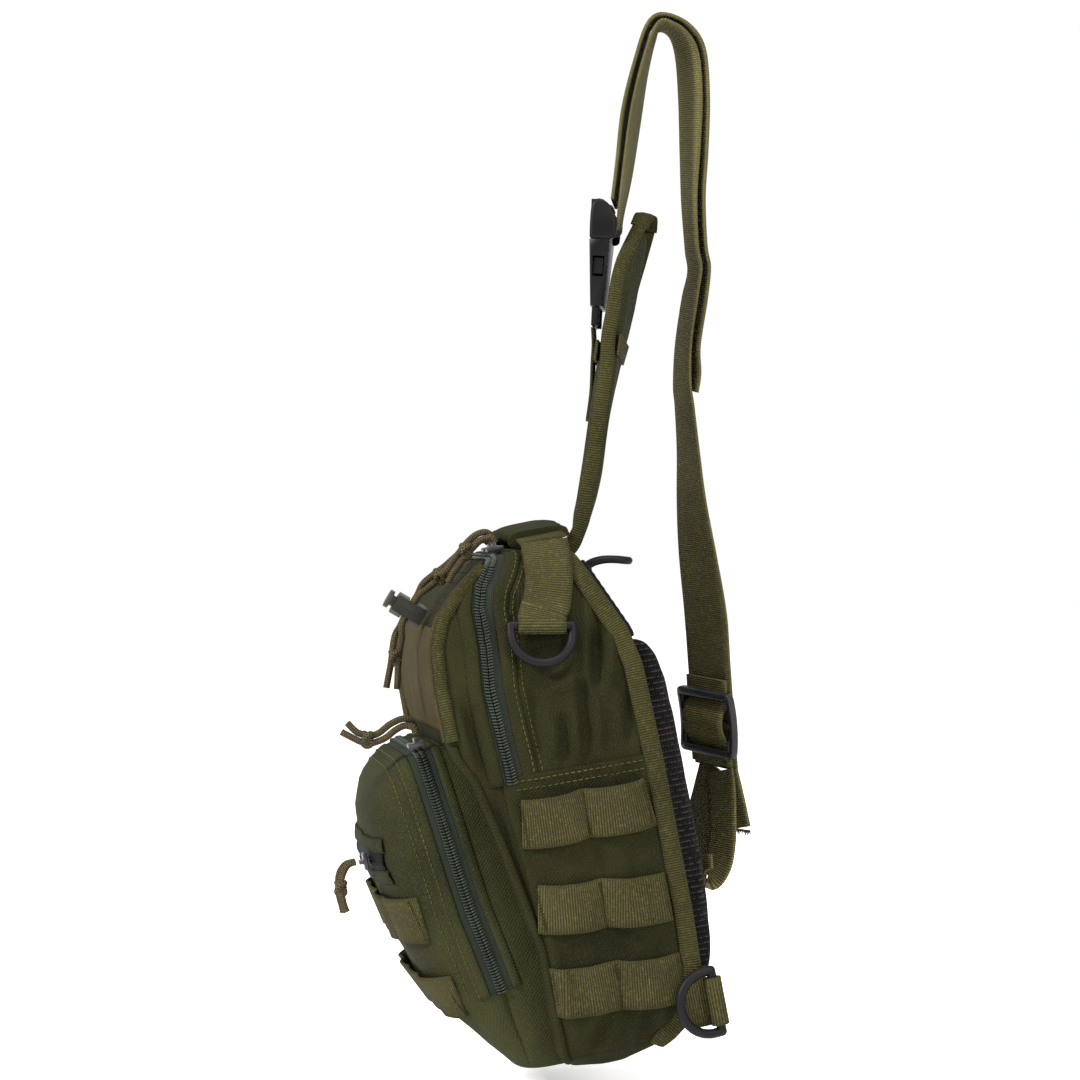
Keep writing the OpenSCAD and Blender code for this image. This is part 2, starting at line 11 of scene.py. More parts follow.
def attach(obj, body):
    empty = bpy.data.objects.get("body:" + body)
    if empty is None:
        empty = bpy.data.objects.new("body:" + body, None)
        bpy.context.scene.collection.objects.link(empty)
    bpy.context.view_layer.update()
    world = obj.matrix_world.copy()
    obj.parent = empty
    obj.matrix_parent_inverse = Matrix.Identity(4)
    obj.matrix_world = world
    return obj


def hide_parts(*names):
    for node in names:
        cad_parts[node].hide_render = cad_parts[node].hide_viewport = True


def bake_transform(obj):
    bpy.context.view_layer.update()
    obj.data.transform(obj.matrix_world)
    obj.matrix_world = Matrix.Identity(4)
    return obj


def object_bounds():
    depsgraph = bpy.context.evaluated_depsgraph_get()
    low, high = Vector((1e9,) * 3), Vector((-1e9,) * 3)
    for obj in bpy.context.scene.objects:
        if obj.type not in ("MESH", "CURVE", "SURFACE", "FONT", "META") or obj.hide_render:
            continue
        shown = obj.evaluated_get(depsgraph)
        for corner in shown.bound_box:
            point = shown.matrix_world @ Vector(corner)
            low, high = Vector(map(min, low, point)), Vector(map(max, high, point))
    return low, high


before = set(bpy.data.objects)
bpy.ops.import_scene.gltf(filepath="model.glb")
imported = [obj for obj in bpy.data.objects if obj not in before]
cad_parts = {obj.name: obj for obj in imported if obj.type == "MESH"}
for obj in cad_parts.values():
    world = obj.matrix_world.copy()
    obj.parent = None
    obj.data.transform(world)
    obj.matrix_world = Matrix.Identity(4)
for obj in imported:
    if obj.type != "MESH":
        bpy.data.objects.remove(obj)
CAD_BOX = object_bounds()

# Sling bag hanging by its strap. Lengths are in millimetres until they reach a mesh.
# Bag coordinates: x to the bag's left, y depth (0 at the back panel, front negative), z height.
# Row coordinates: the hanging frame, with the hanging point at its origin.
MM = 0.001
LEAN = math.radians(11)
BAG_Y, BAG_Z = 8.0, -540.0
ROW_W, STRAP_W, STRAP_T, CORD_D = 25.4, 38.0, 1.6, 3.6
RING_BAR = 5.0
random.seed(11)


def bag(x, y, z):
    """A point of the bag in the hanging frame, in metres."""
    c, s = math.cos(LEAN), math.sin(LEAN)
    return Vector((x, BAG_Y + y * c - z * s, BAG_Z + y * s + z * c)) * MM


def bag_way(x, y, z):
    """A direction of the bag in the hanging frame."""
    c, s = math.cos(LEAN), math.sin(LEAN)
    return Vector((x, y * c - z * s, y * s + z * c)).normalized()


def row(x, y, z):
    return Vector((x, y, z)) * MM


def add_object(name, data):
    obj = bpy.data.objects.new(name, data)
    bpy.context.scene.collection.objects.link(obj)
    return obj


# ---------- camera, light and world ----------
PHOTO_PX = 1080
PX_PER_MM = 1.84
SENSOR = 36
CAMERA_AWAY = 1.8
CAMERA_TURN = math.radians(8)
AIM = Vector((0, -0.0686, -0.2799))


def make_camera():
    look = Vector((-math.cos(CAMERA_TURN), math.sin(CAMERA_TURN), 0))
    data = bpy.data.cameras.new("camera")
    data.sensor_width = SENSOR
    data.lens = PX_PER_MM * CAMERA_AWAY * 1000 * SENSOR / PHOTO_PX
    camera = add_object("camera", data)
    camera.location = AIM - look * CAMERA_AWAY
    camera.rotation_euler = look.to_track_quat("-Z", "Y").to_euler()
    bpy.context.scene.camera = camera


def make_light(name, place, size, power):
    data = bpy.data.lights.new(name, "AREA")
    data.shape, data.size, data.energy = "DISK", size, power
    data.color = (1.0, 0.98, 0.95)
    lamp = add_object(name, data)
    lamp.location = place
    lamp.rotation_euler = (AIM - Vector(place)).to_track_quat("-Z", "Y").to_euler()


make_camera()
make_light("key", (0.8, -2.0, 1.0), 0.5, 84)
make_light("fill", (2.0, 0.9, 0.7), 0.6, 26)
make_light("top", (0.7, 0.0, 1.6), 0.5, 30)
make_light("back", (-1.6, 0.9, 0.6), 1.0, 8)
bpy.context.scene.view_settings.view_transform = "Standard"


def make_world():
    world = bpy.data.worlds.new("studio")
    world.use_nodes = True
    inputs = world.node_tree.nodes["Background"].inputs
    inputs["Color"].default_value = (1, 1, 1, 1)
    inputs["Strength"].default_value = 1.0
    bpy.context.scene.world = world


make_world()

# ---------- materials ----------


def srgb(rgb):
    """A colour seen as 0 to 255 in linear values; 10 is where sRGB's straight part ends."""
    return tuple(v / 255 / 12.92 if v <= 10 else ((v / 255 + 0.055) / 1.055) ** 2.4 for v in rgb) + (1.0,)


class Nodes:
    """A material's node tree with short calls for the nodes that the finishes here share."""

    def __init__(self, name, roughness, metallic=0.0, gloss=0.5):
        self.material = bpy.data.materials.new(name)
        self.material.use_nodes = True
        self.tree = self.material.node_tree
        self.shader = self.tree.nodes["Principled BSDF"]
        self.shader.inputs["Roughness"].default_value = roughness
        self.shader.inputs["Metallic"].default_value = metallic
        self.shader.inputs["Specular IOR Level"].default_value = gloss
        self.coords = self.tree.nodes.new("ShaderNodeTexCoord")

    def link(self, a, b):
        self.tree.links.new(a, b)

    def math(self, operation, a, b=0.0):
        node = self.tree.nodes.new("ShaderNodeMath")
        node.operation = operation
        for socket, value in zip(node.inputs, (a, b)):
            if isinstance(value, (int, float)):
                socket.default_value = value
            else:
                self.link(value, socket)
        return node.outputs[0]

    def plus(self, a, b):
        return self.math("ADD", a, b)

    def minus(self, a, b):
        return self.math("SUBTRACT", a, b)

    def times(self, a, b):
        return self.math("MULTIPLY", a, b)

    def split(self, source):
        node = self.tree.nodes.new("ShaderNodeSeparateXYZ")
        self.link(source, node.inputs[0])
        return node.outputs

    def noise(self, scale, detail=3.0, source=None, rough=0.55):
        node = self.tree.nodes.new("ShaderNodeTexNoise")
        node.inputs["Scale"].default_value = scale
        node.inputs["Detail"].default_value = detail
        node.inputs["Roughness"].default_value = rough
        self.link(source or self.coords.outputs["Object"], node.inputs["Vector"])
        return node.outputs["Fac"]

    def ridge(self, value, pitch, phase=0.0):
        """0 to 1 waves along a length in the same unit as pitch."""
        turned = self.times(value, 2 * math.pi / pitch)
        wave = self.math("SINE", self.plus(turned, phase))
        return self.plus(self.times(wave, 0.5), 0.5)

    def mix(self, a, b, factor):
        node = self.tree.nodes.new("ShaderNodeMix")
        node.data_type = "RGBA"
        for socket, value in ((node.inputs[6], a), (node.inputs[7], b)):
            if isinstance(value, tuple):
                socket.default_value = value
            else:
                self.link(value, socket)
        self.link(factor, node.inputs[0])
        return node.outputs[2]

    def ramp(self, value, low, high):
        node = self.tree.nodes.new("ShaderNodeMapRange")
        node.inputs["From Min"].default_value = low
        node.inputs["From Max"].default_value = high
        node.clamp = True
        self.link(value, node.inputs["Value"])
        return node.outputs["Result"]

    def bump(self, height, distance, strength=1.0):
        node = self.tree.nodes.new("ShaderNodeBump")
        node.inputs["Strength"].default_value = strength
        node.inputs["Distance"].default_value = distance
        self.link(height, node.inputs["Height"])
        self.link(node.outputs["Normal"], self.shader.inputs["Normal"])

    def colour(self, socket):
        self.link(socket, self.shader.inputs["Base Color"])
        return self.material


def darker(rgb, k):
    return srgb(tuple(v * k for v in rgb))


CLOTH_GLOSS = 0.05
CLOTH_PITCH = 1.5 * 1.3


def make_fabric(name, rgb, by_uv=True):
    """Coarse pack cloth: a plain weave of thick yarn, with slubs and a slow change of tone."""
    n = Nodes(name, 0.86, gloss=CLOTH_GLOSS)
    if by_uv:
        u, v, _ = n.split(n.coords.outputs["UV"])
    else:
        scaled = n.tree.nodes.new("ShaderNodeVectorMath")
        scaled.operation = "SCALE"
        scaled.inputs["Scale"].default_value = 1 / MM
        n.link(n.coords.outputs["Object"], scaled.inputs[0])
        x, y, z = n.split(scaled.outputs[0])
        u, v = n.plus(x, y), z
    weave = n.times(n.ridge(n.plus(u, v), CLOTH_PITCH), n.ridge(n.minus(u, v), CLOTH_PITCH))
    slub = n.noise(900, 2.0)
    slow = n.noise(16, 4.0)
    tone = n.mix(darker(rgb, 0.72), darker(rgb, 1.2), n.ramp(slow, 0.3, 0.72))
    yarn = n.mix(tone, darker(rgb, 1.42), n.times(n.ramp(slub, 0.5, 0.72), 0.6))
    final = n.mix(yarn, darker(rgb, 0.5), n.times(n.minus(1.0, weave), 0.5))
    height = n.plus(n.times(weave, 0.7), n.times(slub, 0.6))
    n.bump(height, 0.0006, 1.0)
    return n.colour(final)


def make_webbing(name, rgb, pitch=1.5, width=ROW_W, depth=0.0005, edge=1.6):
    """Woven strap: ribs across its length, a denser edge, and yarns with a slight change of tone, with a painted
    highlight on the rib crests and painted shade in the grooves between them.
    """
    n = Nodes(name, 0.86, gloss=CLOTH_GLOSS)
    u, v, _ = n.split(n.coords.outputs["UV"])
    rib = n.ridge(u, pitch)
    yarn = n.ridge(v, 0.95)
    side = n.ramp(n.math("ABSOLUTE", v), width / 2 - edge, width / 2 - edge + 0.5)
    slow = n.noise(22, 4.0)
    fine = n.noise(600, 2.0)
    tone = n.mix(darker(rgb, 0.78), darker(rgb, 1.16), n.ramp(slow, 0.3, 0.7))
    # painted highlight: the rib crests are lighter, as where light catches them
    lit = n.mix(tone, darker(rgb, 1.45), n.times(n.times(rib, yarn), 0.5))
    speck = n.times(n.ramp(fine, 0.5, 0.7), 0.5)
    lit = n.mix(lit, darker(rgb, 1.6), speck)
    # painted shade: the grooves between the ribs are darkened, as where shade falls
    shaded_grooves = n.mix(lit, darker(rgb, 0.42), n.times(n.math("POWER", n.minus(1.0, rib), 2.0), 0.7))
    final = n.mix(shaded_grooves, darker(rgb, 0.85), n.times(side, 0.5))
    height = n.plus(n.plus(rib, n.times(yarn, 0.35)), n.times(fine, 0.4))
    n.bump(height, depth, 0.9)
    return n.colour(final)


def make_plastic(name, rgb, roughness=0.42, grain=0.00006, gloss=0.5):
    """Moulded plastic: fine spark-eroded grain and faint handling marks."""
    n = Nodes(name, roughness, gloss=gloss)
    fine = n.noise(1400, 3.0)
    slow = n.noise(60, 4.0)
    marks = n.ramp(slow, 0.35, 0.75)
    n.link(n.plus(n.times(marks, 0.16), roughness - 0.08), n.shader.inputs["Roughness"])
    n.bump(fine, grain, 0.8)
    return n.colour(n.mix(darker(rgb, 0.85), darker(rgb, 1.25), marks))


def make_metal(name, rgb):
    n = Nodes(name, 0.38, metallic=0.85)
    slow = n.noise(300, 3.0)
    n.bump(n.noise(900, 2.0), 0.00005, 0.7)
    n.link(n.plus(n.times(slow, 0.25), 0.25), n.shader.inputs["Roughness"])
    return n.colour(n.mix(darker(rgb, 0.7), darker(rgb, 1.2), slow))


def make_cord(name, rgb):
    """Braided cord: strands in two directions, light and dark yarns."""
    n = Nodes(name, 0.8, gloss=0.08)
    u, v, _ = n.split(n.coords.outputs["UV"])
    turn = n.times(v, 4.0)
    one = n.ridge(n.plus(u, turn), 1.2)
    two = n.ridge(n.minus(u, turn), 1.2)
    braid = n.math("MAXIMUM", one, two)
    fine = n.noise(900, 2.0)
    tone = n.mix(darker(rgb, 0.5), darker(rgb, 1.35), n.ramp(braid, 0.35, 0.95))
    final = n.mix(tone, darker(rgb, 1.8), n.times(n.ramp(fine, 0.56, 0.75), 0.55))
    n.bump(n.plus(braid, n.times(fine, 0.4)), 0.0005, 0.9)
    return n.colour(final)


def make_spacer_mesh(name, rgb, rib_rgb, rib_pitch=3.0):
    """Air mesh on the back pad: small open cells with thin pale ribs across the bag."""
    n = Nodes(name, 0.9, gloss=CLOTH_GLOSS)
    mapping = n.tree.nodes.new("ShaderNodeMapping")
    mapping.inputs["Rotation"].default_value = (-LEAN, 0, 0)
    mapping.inputs["Scale"].default_value = (1 / MM, 1 / MM, 1 / MM)
    n.link(n.coords.outputs["Object"], mapping.inputs["Vector"])
    x, y, z = n.split(mapping.outputs["Vector"])
    rib = n.math("POWER", n.ridge(z, rib_pitch), 7.0)
    cells = n.times(n.ridge(n.plus(x, y), 1.5), n.ridge(z, 1.5))
    broken = n.ramp(n.noise(500, 2.0), 0.38, 0.6)
    dark = n.mix(darker(rgb, 0.55), darker(rgb, 1.25), cells)
    final = n.mix(dark, srgb(rib_rgb), n.times(n.times(rib, broken), 0.75))
    n.bump(n.plus(n.times(rib, 1.2), n.times(cells, 0.6)), 0.0006, 0.9)
    return n.colour(final)


def make_loop_pile(name, rgb):
    n = Nodes(name, 0.95, gloss=CLOTH_GLOSS)
    fuzz = n.noise(700, 6.0, rough=0.75)
    slow = n.noise(30, 3.0)
    n.bump(fuzz, 0.001, 1.0)
    tone = n.mix(darker(rgb, 0.7), darker(rgb, 1.15), slow)
    return n.colour(n.mix(tone, darker(rgb, 1.6), n.times(n.ramp(fuzz, 0.45, 0.75), 0.6)))


def make_zip_tape(name, rgb):
    n = Nodes(name, 0.75, gloss=0.08)
    u, v, _ = n.split(n.coords.outputs["UV"])
    rib = n.ridge(v, 1.1)
    cross = n.ridge(u, 0.9)
    slow = n.noise(40, 3.0)
    tone = n.mix(darker(rgb, 0.75), darker(rgb, 1.2), slow)
    n.bump(n.plus(rib, n.times(cross, 0.4)), 0.0003, 0.8)
    return n.colour(n.mix(tone, darker(rgb, 0.55), n.times(n.minus(1.0, rib), 0.5)))


BODY = make_fabric("body_cloth", (36, 36, 19))
# painted light: the pocket's cloth is the body's cloth painted lighter, standing in for the key light on the pocket
POCKET_PAINTED_LIT = make_fabric("pocket_cloth_painted_lit", (46, 47, 27))
PAD = make_fabric("pad_cloth", (47, 48, 27), by_uv=False)
LOOP_PILE = make_loop_pile("loop_pile", (52, 46, 29))
ROWS = make_webbing("row_webbing", (55, 52, 31), 1.3, ROW_W, 0.0005)
# painted light: the strap's webbing is painted lighter than the row webbing, standing in for the light on the strap's
# face
STRAP_PAINTED_LIT = make_webbing("strap_webbing", (80, 76, 49), 1.2, STRAP_W, 0.0003)
BINDING = make_webbing("binding_tape", (49, 47, 26), 1.3, 11, 0.0005, 1.0)
TAPE = make_zip_tape("zip_tape", (33, 38, 31))
TEETH = make_plastic("zip_teeth", (32, 37, 31), 0.4, gloss=0.25)
BLACK_TAPE = make_zip_tape("black_zip", (14, 14, 14))
RING = make_plastic("ring_plastic", (14, 12, 14), 0.5, gloss=0.12)
BUCKLE = make_plastic("buckle_plastic", (10, 9, 9), 0.45, gloss=0.12)
GLIDE = make_plastic("triglide_plastic", (34, 31, 34), 0.46, gloss=0.2)
METAL = make_metal("slider_metal", (60, 58, 60))
CORD = make_cord("pull_cord", (52, 46, 32))
LOCK = make_plastic("cord_lock_plastic", (24, 23, 16), 0.45, gloss=0.15)
BUTTON = make_plastic("lock_button", (42, 40, 34), 0.45, gloss=0.15)
SPACER = make_spacer_mesh("spacer_mesh", (24, 22, 22), (72, 66, 68))
THREAD = make_plastic("thread", (62, 62, 30), 0.7, gloss=0.05)
DARK_THREAD = make_plastic("dark_thread", (34, 32, 17), 0.8, gloss=0.05)
FOAM = make_plastic("foam_sheet", (70, 70, 66), 0.9, gloss=0.1)


# ---------- mesh building ----------
class Build:
    """Collects grids, sweeps and beads into one mesh with uv in millimetres."""

    def __init__(self):
        self.verts, self.faces, self.uv = [], [], []

    def grid(self, points, us, vs, wrap=False):
        rows, cols, base = len(points), len(points[0]), len(self.verts)
        self.verts += [tuple(p) for line in points for p in line]
        for i in range(rows - 1):
            for j in range(cols if wrap else cols - 1):
                k = (j + 1) % cols
                low, high = base + i * cols, base + (i + 1) * cols
                self.faces.append((low + j, low + k, high + k, high + j))
                for a, b in ((i, j), (i, j + 1), (i + 1, j + 1), (i + 1, j)):
                    self.uv.append((us[a][b], vs[a][b]))

    def cap(self, ring, flip):
        base = len(self.verts)
        self.verts += [tuple(p) for p in ring]
        order = list(range(base, base + len(ring)))
        self.faces.append(tuple(reversed(order)) if flip else tuple(order))
        self.uv += [(0.0, 0.0)] * len(ring)

    def sweep(self, centres, acrosses, profile, caps=True):
        """profile holds (along the width, along the normal) in millimetres."""
        centres = [Vector(c) for c in centres]
        n = len(centres)
        rings, length, lengths = [], 0.0, []
        for i, c in enumerate(centres):
            way = (centres[min(i + 1, n - 1)] - centres[max(i - 1, 0)]).normalized()
            across = Vector(acrosses[i])
            across = (across - way * across.dot(way)).normalized()
            normal = way.cross(across)
            shape = profile[i] if isinstance(profile[0][0], (tuple, list)) else profile
            rings.append([c + across * (a * MM) + normal * (h * MM) for a, h in shape])
            if i:
                length += (c - centres[i - 1]).length / MM
            lengths.append(length)
        shape = profile[0] if isinstance(profile[0][0], (tuple, list)) else profile
        vs = [p[0] for p in shape] + [shape[0][0]]
        self.grid(rings, [[s] * (len(shape) + 1) for s in lengths], [vs] * n, True)
        if caps:
            self.cap(rings[0], False)
            self.cap(rings[-1], True)

    def tube(self, path, radius, sides=10, caps=True):
        """A round cord along points in metres; radius is one value or one for each point, in millimetres."""
        path = [Vector(p) for p in path]
        n = len(path)
        normal = Vector((0.31, 0.22, 0.92))
        rings, length, lengths = [], 0.0, []
        for i, c in enumerate(path):
            way = (path[min(i + 1, n - 1)] - path[max(i - 1, 0)]).normalized()
            normal = (normal - way * normal.dot(way)).normalized()
            other = way.cross(normal)
            if i:
                length += (c - path[i - 1]).length / MM
            lengths.append(length)
            r = radius[i] if isinstance(radius, (list, tuple)) else radius
            rings.append([c + (normal * math.cos(a) + other * math.sin(a)) * (r * MM)
                          for a in [2 * math.pi * j / sides for j in range(sides)]])
        round_v = [j / sides for j in range(sides + 1)]
        self.grid(rings, [[s] * (sides + 1) for s in lengths], [round_v] * n, True)
        if caps:
            self.cap(rings[0], False)
            self.cap(rings[-1], True)

    def bead(self, centre, way, normal, long, wide, high):
        """A small rounded bar lying along way: a stitch or a zip tooth."""
        way, normal = Vector(way).normalized(), Vector(normal)
        normal = (normal - way * normal.dot(way)).normalized()
        other = way.cross(normal)
        base = len(self.verts)
        for s, k in ((-0.5, 0.45), (-0.36, 1.0), (0.36, 1.0), (0.5, 0.45)):
            for j in range(6):
                a = math.pi * j / 3
                p = Vector(centre) + way * (long * s * MM) + other * (math.cos(a) * wide / 2 * k * MM) \
                    + normal * (math.sin(a) * high / 2 * k * MM)
                self.verts.append(tuple(p))
        for i in range(3):
            for j in range(6):
                k = (j + 1) % 6
                low, high = base + i * 6, base + (i + 1) * 6
                self.faces.append((low + j, low + k, high + k, high + j))
                self.uv += [(0.0, 0.0)] * 4
        self.faces.append(tuple(base + j for j in range(5, -1, -1)))
        self.faces.append(tuple(base + 18 + j for j in range(6)))
        self.uv += [(0.0, 0.0)] * 12

    def make(self, name, material, weld=0.0, thick=0.0):
        mesh = bpy.data.meshes.new(name)
        mesh.from_pydata(self.verts, [], self.faces)
        layer = mesh.uv_layers.new(name="UVMap")
        layer.data.foreach_set("uv", [c for pair in self.uv for c in pair])
        mesh.polygons.foreach_set("use_smooth", [True] * len(mesh.polygons))
        mesh.materials.append(material)
        obj = add_object(name, mesh)
        if weld:
            work = bmesh.new()
            work.from_mesh(mesh)
            bmesh.ops.remove_doubles(work, verts=work.verts, dist=weld * MM)
            work.to_mesh(mesh)
            work.free()
        if thick:
            solid = obj.modifiers.new("thickness", "SOLIDIFY")
            solid.thickness, solid.offset = thick * MM, -1
            apply_modifiers(obj)
        return obj


def apply_modifiers(obj):
    graph = bpy.context.evaluated_depsgraph_get()
    mesh = bpy.data.meshes.new_from_object(obj.evaluated_get(graph))
    obj.modifiers.clear()
    obj.data = mesh


def smooth(points, steps=6):
    """A curve through the points (Catmull-Rom), for points of any width."""
    pts = np.array(points, float)
    out = []
    for i in range(len(pts) - 1):
        a, b, c, d = pts[max(i - 1, 0)], pts[i], pts[i + 1], pts[min(i + 2, len(pts) - 1)]
        for t in np.arange(steps) / steps:
            out.append(0.5 * (2 * b + (c - a) * t + (2 * a - 5 * b + 4 * c - d) * t ** 2
                              + (3 * b - a - 3 * c + d) * t ** 3))
    out.append(pts[-1])
    return np.array(out)


def resample(points, pitch):
    """Points at an even spacing along a polyline; each row may carry a direction after its place."""
    pts = np.array(points, float)
    steps = np.linalg.norm(np.diff(pts[:, :3], axis=0), axis=1)
    total = np.concatenate([[0], np.cumsum(steps)])
    count = max(2, int(round(total[-1] / pitch)) + 1)
    at = np.linspace(0, total[-1], count)
    return np.stack([np.interp(at, total, pts[:, k]) for k in range(pts.shape[1])], 1)


def strap_profile(width, thick, columns=8):
    """A flat woven strap in section, thinning sharply at its edges."""
    top = [(width * (k / columns - 0.5) * 0.985, thick / 2) for k in range(columns + 1)]
    edge = [(width / 2, thick * 0.1), (width / 2, -thick * 0.1)]
    bottom = [(a, -h) for a, h in reversed(top)]
    other = [(-width / 2, -thick * 0.1), (-width / 2, thick * 0.1)]
    return top + edge + bottom + other


# ---------- outlines of the bag, (height, value) ----------
FRONT_Y = [(0, -62), (2, -73), (8, -79), (66, -80), (94, -85), (121, -90), (158, -98), (170, -104), (178, -105.5),
           (207, -105.5), (227, -103), (241, -97), (253, -85), (262, -72), (267, -60)]
BACK_Y = [(0, -42), (4, -28), (18, -9), (42, -1), (70, 0), (200, 0), (218, -3), (233, -9), (248, -15), (260, -20),
          (265, -25), (267, -30)]
HALF_X = [(0, 90), (8, 100), (40, 105), (150, 105), (200, 97), (230, 87), (250, 80), (261, 73), (267, 65)]
ZIP_Y = [(0, -77), (158, -78), (178, -79), (202, -79), (222, -76), (243, -75), (254, -71), (264, -63), (267, -61)]
POCKET_Y = [(2, -100), (10, -106), (42, -132), (68, -141), (91, -146), (120, -152), (146, -151), (162, -145),
            (170, -136), (174, -124), (175, -114)]
POCKET_X = [(2, 76), (12, 80), (50, 82), (140, 82), (160, 79), (172, 72), (175, 67)]
POCKET_ZIP_Y = [(2, -93), (12, -95), (54, -102), (91, -109), (124, -113), (161, -117), (175, -118)]
TOP_Z = 267.0


def at(outline, z):
    """An outline's value at a height."""
    return float(np.interp(z, [p[0] for p in outline], [p[1] for p in outline]))


def step(value, low, high):
    """0 below low, 1 above high, with an even change between."""
    t = min(max((value - low) / (high - low), 0.0), 1.0)
    return t * t * (3 - 2 * t)


def hump(value, middle, width):
    return math.exp(-((value - middle) / width) ** 2)


def wander(x, y, z):
    """Smooth noise between about -1 and 1."""
    return noise.noise(Vector((x, y, z)))


def crease(y, z, y0, z0, y1, z1, width, depth):
    """A fold that runs from one place on the side to another, deepest half way along."""
    t = ((y - y0) * (y1 - y0) + (z - z0) * (z1 - z0)) / ((y1 - y0) ** 2 + (z1 - z0) ** 2)
    if not -0.15 < t < 1.15:
        return 0.0
    away = (y - y0 - t * (y1 - y0)) * (z1 - z0) - (z - z0 - t * (z1 - z0)) * (y1 - y0)
    away = abs(away) / math.hypot(y1 - y0, z1 - z0)
    fade = step(t, -0.15, 0.3) * (1 - step(t, 0.7, 1.15))
    return depth * fade * (hump(away, 0, width) - 0.45 * hump(away, 2.1 * width, width))


# depth and height of both ends, width, depth of the fold
SIDE_CREASES = [
    (-17, 222, -25, 190, 3.2, -5.0), (-30, 206, -36, 160, 3.0, -3.6), (-44, 184, -48, 158, 2.8, -3.0),
    (-57, 200, -62, 160, 3.0, -2.0), (-12, 236, -20, 205, 3.2, -2.2), (-68, 240, -72, 208, 2.6, -1.6),
    (-8, 190, -13, 160, 2.8, -2.2), (-84, 92, -78, 20, 3.4, -3.6), (-88, 150, -83, 96, 2.8, -2.4),
    (-93, 200, -90, 156, 2.8, -2.6), (-30, 200, -50, 196, 3.0, 1.5), (-66, 10, -50, 30, 3.0, -2.4),
    (-36, 8, -28, 34, 3.0, -2.4)]


def side_sag(y, z, side):
    """How far a side stands out at that place: slack cloth with folds above the sewn side panel."""
    shift_y, shift_z = (0, 0) if side > 0 else (3, 6)
    folds = 0.0
    for fold in SIDE_CREASES:
        folds += crease(y + shift_y, z + shift_z, *fold)
    ripple = wander(y * 0.045, z * 0.03, 3.1 * side) * 1.6 \
        + wander(y * 0.13, z * 0.06, 7.7 * side) * 0.7
    low = -1.2 * (1 - step(z, 120, 165)) + 1.1 * wander(y * 0.09, z * 0.07, side + 2.0)
    return folds * 1.25 + ripple + low * 0.6 - 1.0 * hump(y, -50, 30) * hump(z, 225, 22)


def front_sag(x, z):
    return 1.6 * wander(x * 0.03, z * 0.035, 0.4) + 0.5 * wander(x * 0.1, z * 0.08, 5.4)


HEIGHTS = [0, 0.7, 2, 4, 7, 11, 16] + list(np.arange(20, 244, 3.0)) \
    + [246, 249.5, 253, 256, 258.5, 261, 263, 264.8, 266.2, 267]
FRONT_COLS, CORNER_COLS, GUSSET_COLS, SIDE_COLS, BACK_COLS = 14, 6, 12, 40, 12


def main_column(z, side):
    """Half the body's section at height z, from the middle of the front to the middle of the back."""
    hx, yf, yb = at(HALF_X, z), at(FRONT_Y, z), at(BACK_Y, z)
    r = min(9.0, 0.4 * (yb - yf))
    yz = min(max(at(ZIP_Y, z), yf + r + 0.5), yb - r - 2)
    pts = []
    for k in range(FRONT_COLS):
        x = (hx - r) * k / FRONT_COLS
        pts.append((x, yf - front_sag(x * side, z), 0.0, -1.0))
    for k in range(CORNER_COLS + 1):
        a = math.pi / 2 * k / CORNER_COLS
        pts.append((hx - r + r * math.sin(a), yf + r - r * math.cos(a), math.sin(a), -math.cos(a)))
    for k in range(1, GUSSET_COLS + 1):
        pts.append((hx, yf + r + (yz - yf - r) * k / GUSSET_COLS, 1.0, 0.0))
    seam = len(pts) - 1
    for k in range(1, SIDE_COLS):
        pts.append((hx, yz + (yb - r - yz) * k / SIDE_COLS, 1.0, 0.0))
    for k in range(CORNER_COLS + 1):
        a = math.pi / 2 * k / CORNER_COLS
        pts.append((hx - r + r * math.cos(a), yb - r + r * math.sin(a), math.cos(a), math.sin(a)))
    for k in range(1, BACK_COLS + 1):
        pts.append(((hx - r) * (1 - k / BACK_COLS), yb, 0.0, 1.0))
    ends = step(z, 0, 14) * (1 - step(z, 252, 266))
    out = []
    for x, y, nx, ny in pts:
        sag = side_sag(y, z, side) * max(nx, 0) * ends
        out.append((side * (x + sag), y, z))
    return out, seam


def column_line(column):
    return [bag(*p) for p in column]


def perimeter(points):
    total, out = 0.0, [0.0]
    for a, b in zip(points, points[1:]):
        total += (Vector(b) - Vector(a)).length / MM
        out.append(total)
    return out


left_half = [main_column(z, 1) for z in HEIGHTS]
right_half = [main_column(z, -1) for z in HEIGHTS]
rear_lines, front_lines = [], []
for (left, seam), (right, _) in zip(left_half, right_half):
    rear_lines.append(column_line(left[seam:] + right[seam:-1][::-1]))
    front_lines.append(column_line(right[1:seam + 1][::-1] + left[:seam + 1]))


def flat_uv(lines):
    us = [perimeter(line) for line in lines]
    vs = [[z] * len(lines[0]) for z in HEIGHTS]
    middle = [max(u) / 2 for u in us]
    return [[v - m for v in u] for u, m in zip(us, middle)], vs


def end_cap(build, left, right, lift):
    """Closes the body's top or bottom with shrinking rings."""
    ring = left + right[1:-1][::-1]
    centre = Vector((0, sum(p[1] for p in ring) / len(ring), ring[0][2]))
    rings = []
    for k in (1.0, 0.93, 0.8, 0.6, 0.35, 0.1):
        rise = Vector((0, 0, lift * (1 - k)))
        rings.append([bag(*(centre + (Vector(p) - centre) * k + rise)) for p in ring])
    if lift < 0:
        rings = [list(reversed(r)) for r in rings]
    us = [[p[0] / MM for p in r] + [r[0][0] / MM] for r in rings]
    vs = [[p[1] / MM for p in r] + [r[0][1] / MM] for r in rings]
    build.grid(rings, us, vs, True)
    build.cap(rings[-1], False)


rear = Build()
rear.grid(rear_lines, *flat_uv(rear_lines))
end_cap(rear, left_half[-1][0], right_half[-1][0], 1.2)
end_cap(rear, left_half[0][0], right_half[0][0], -0.6)
front = Build()
front.grid(front_lines, *flat_uv(front_lines))


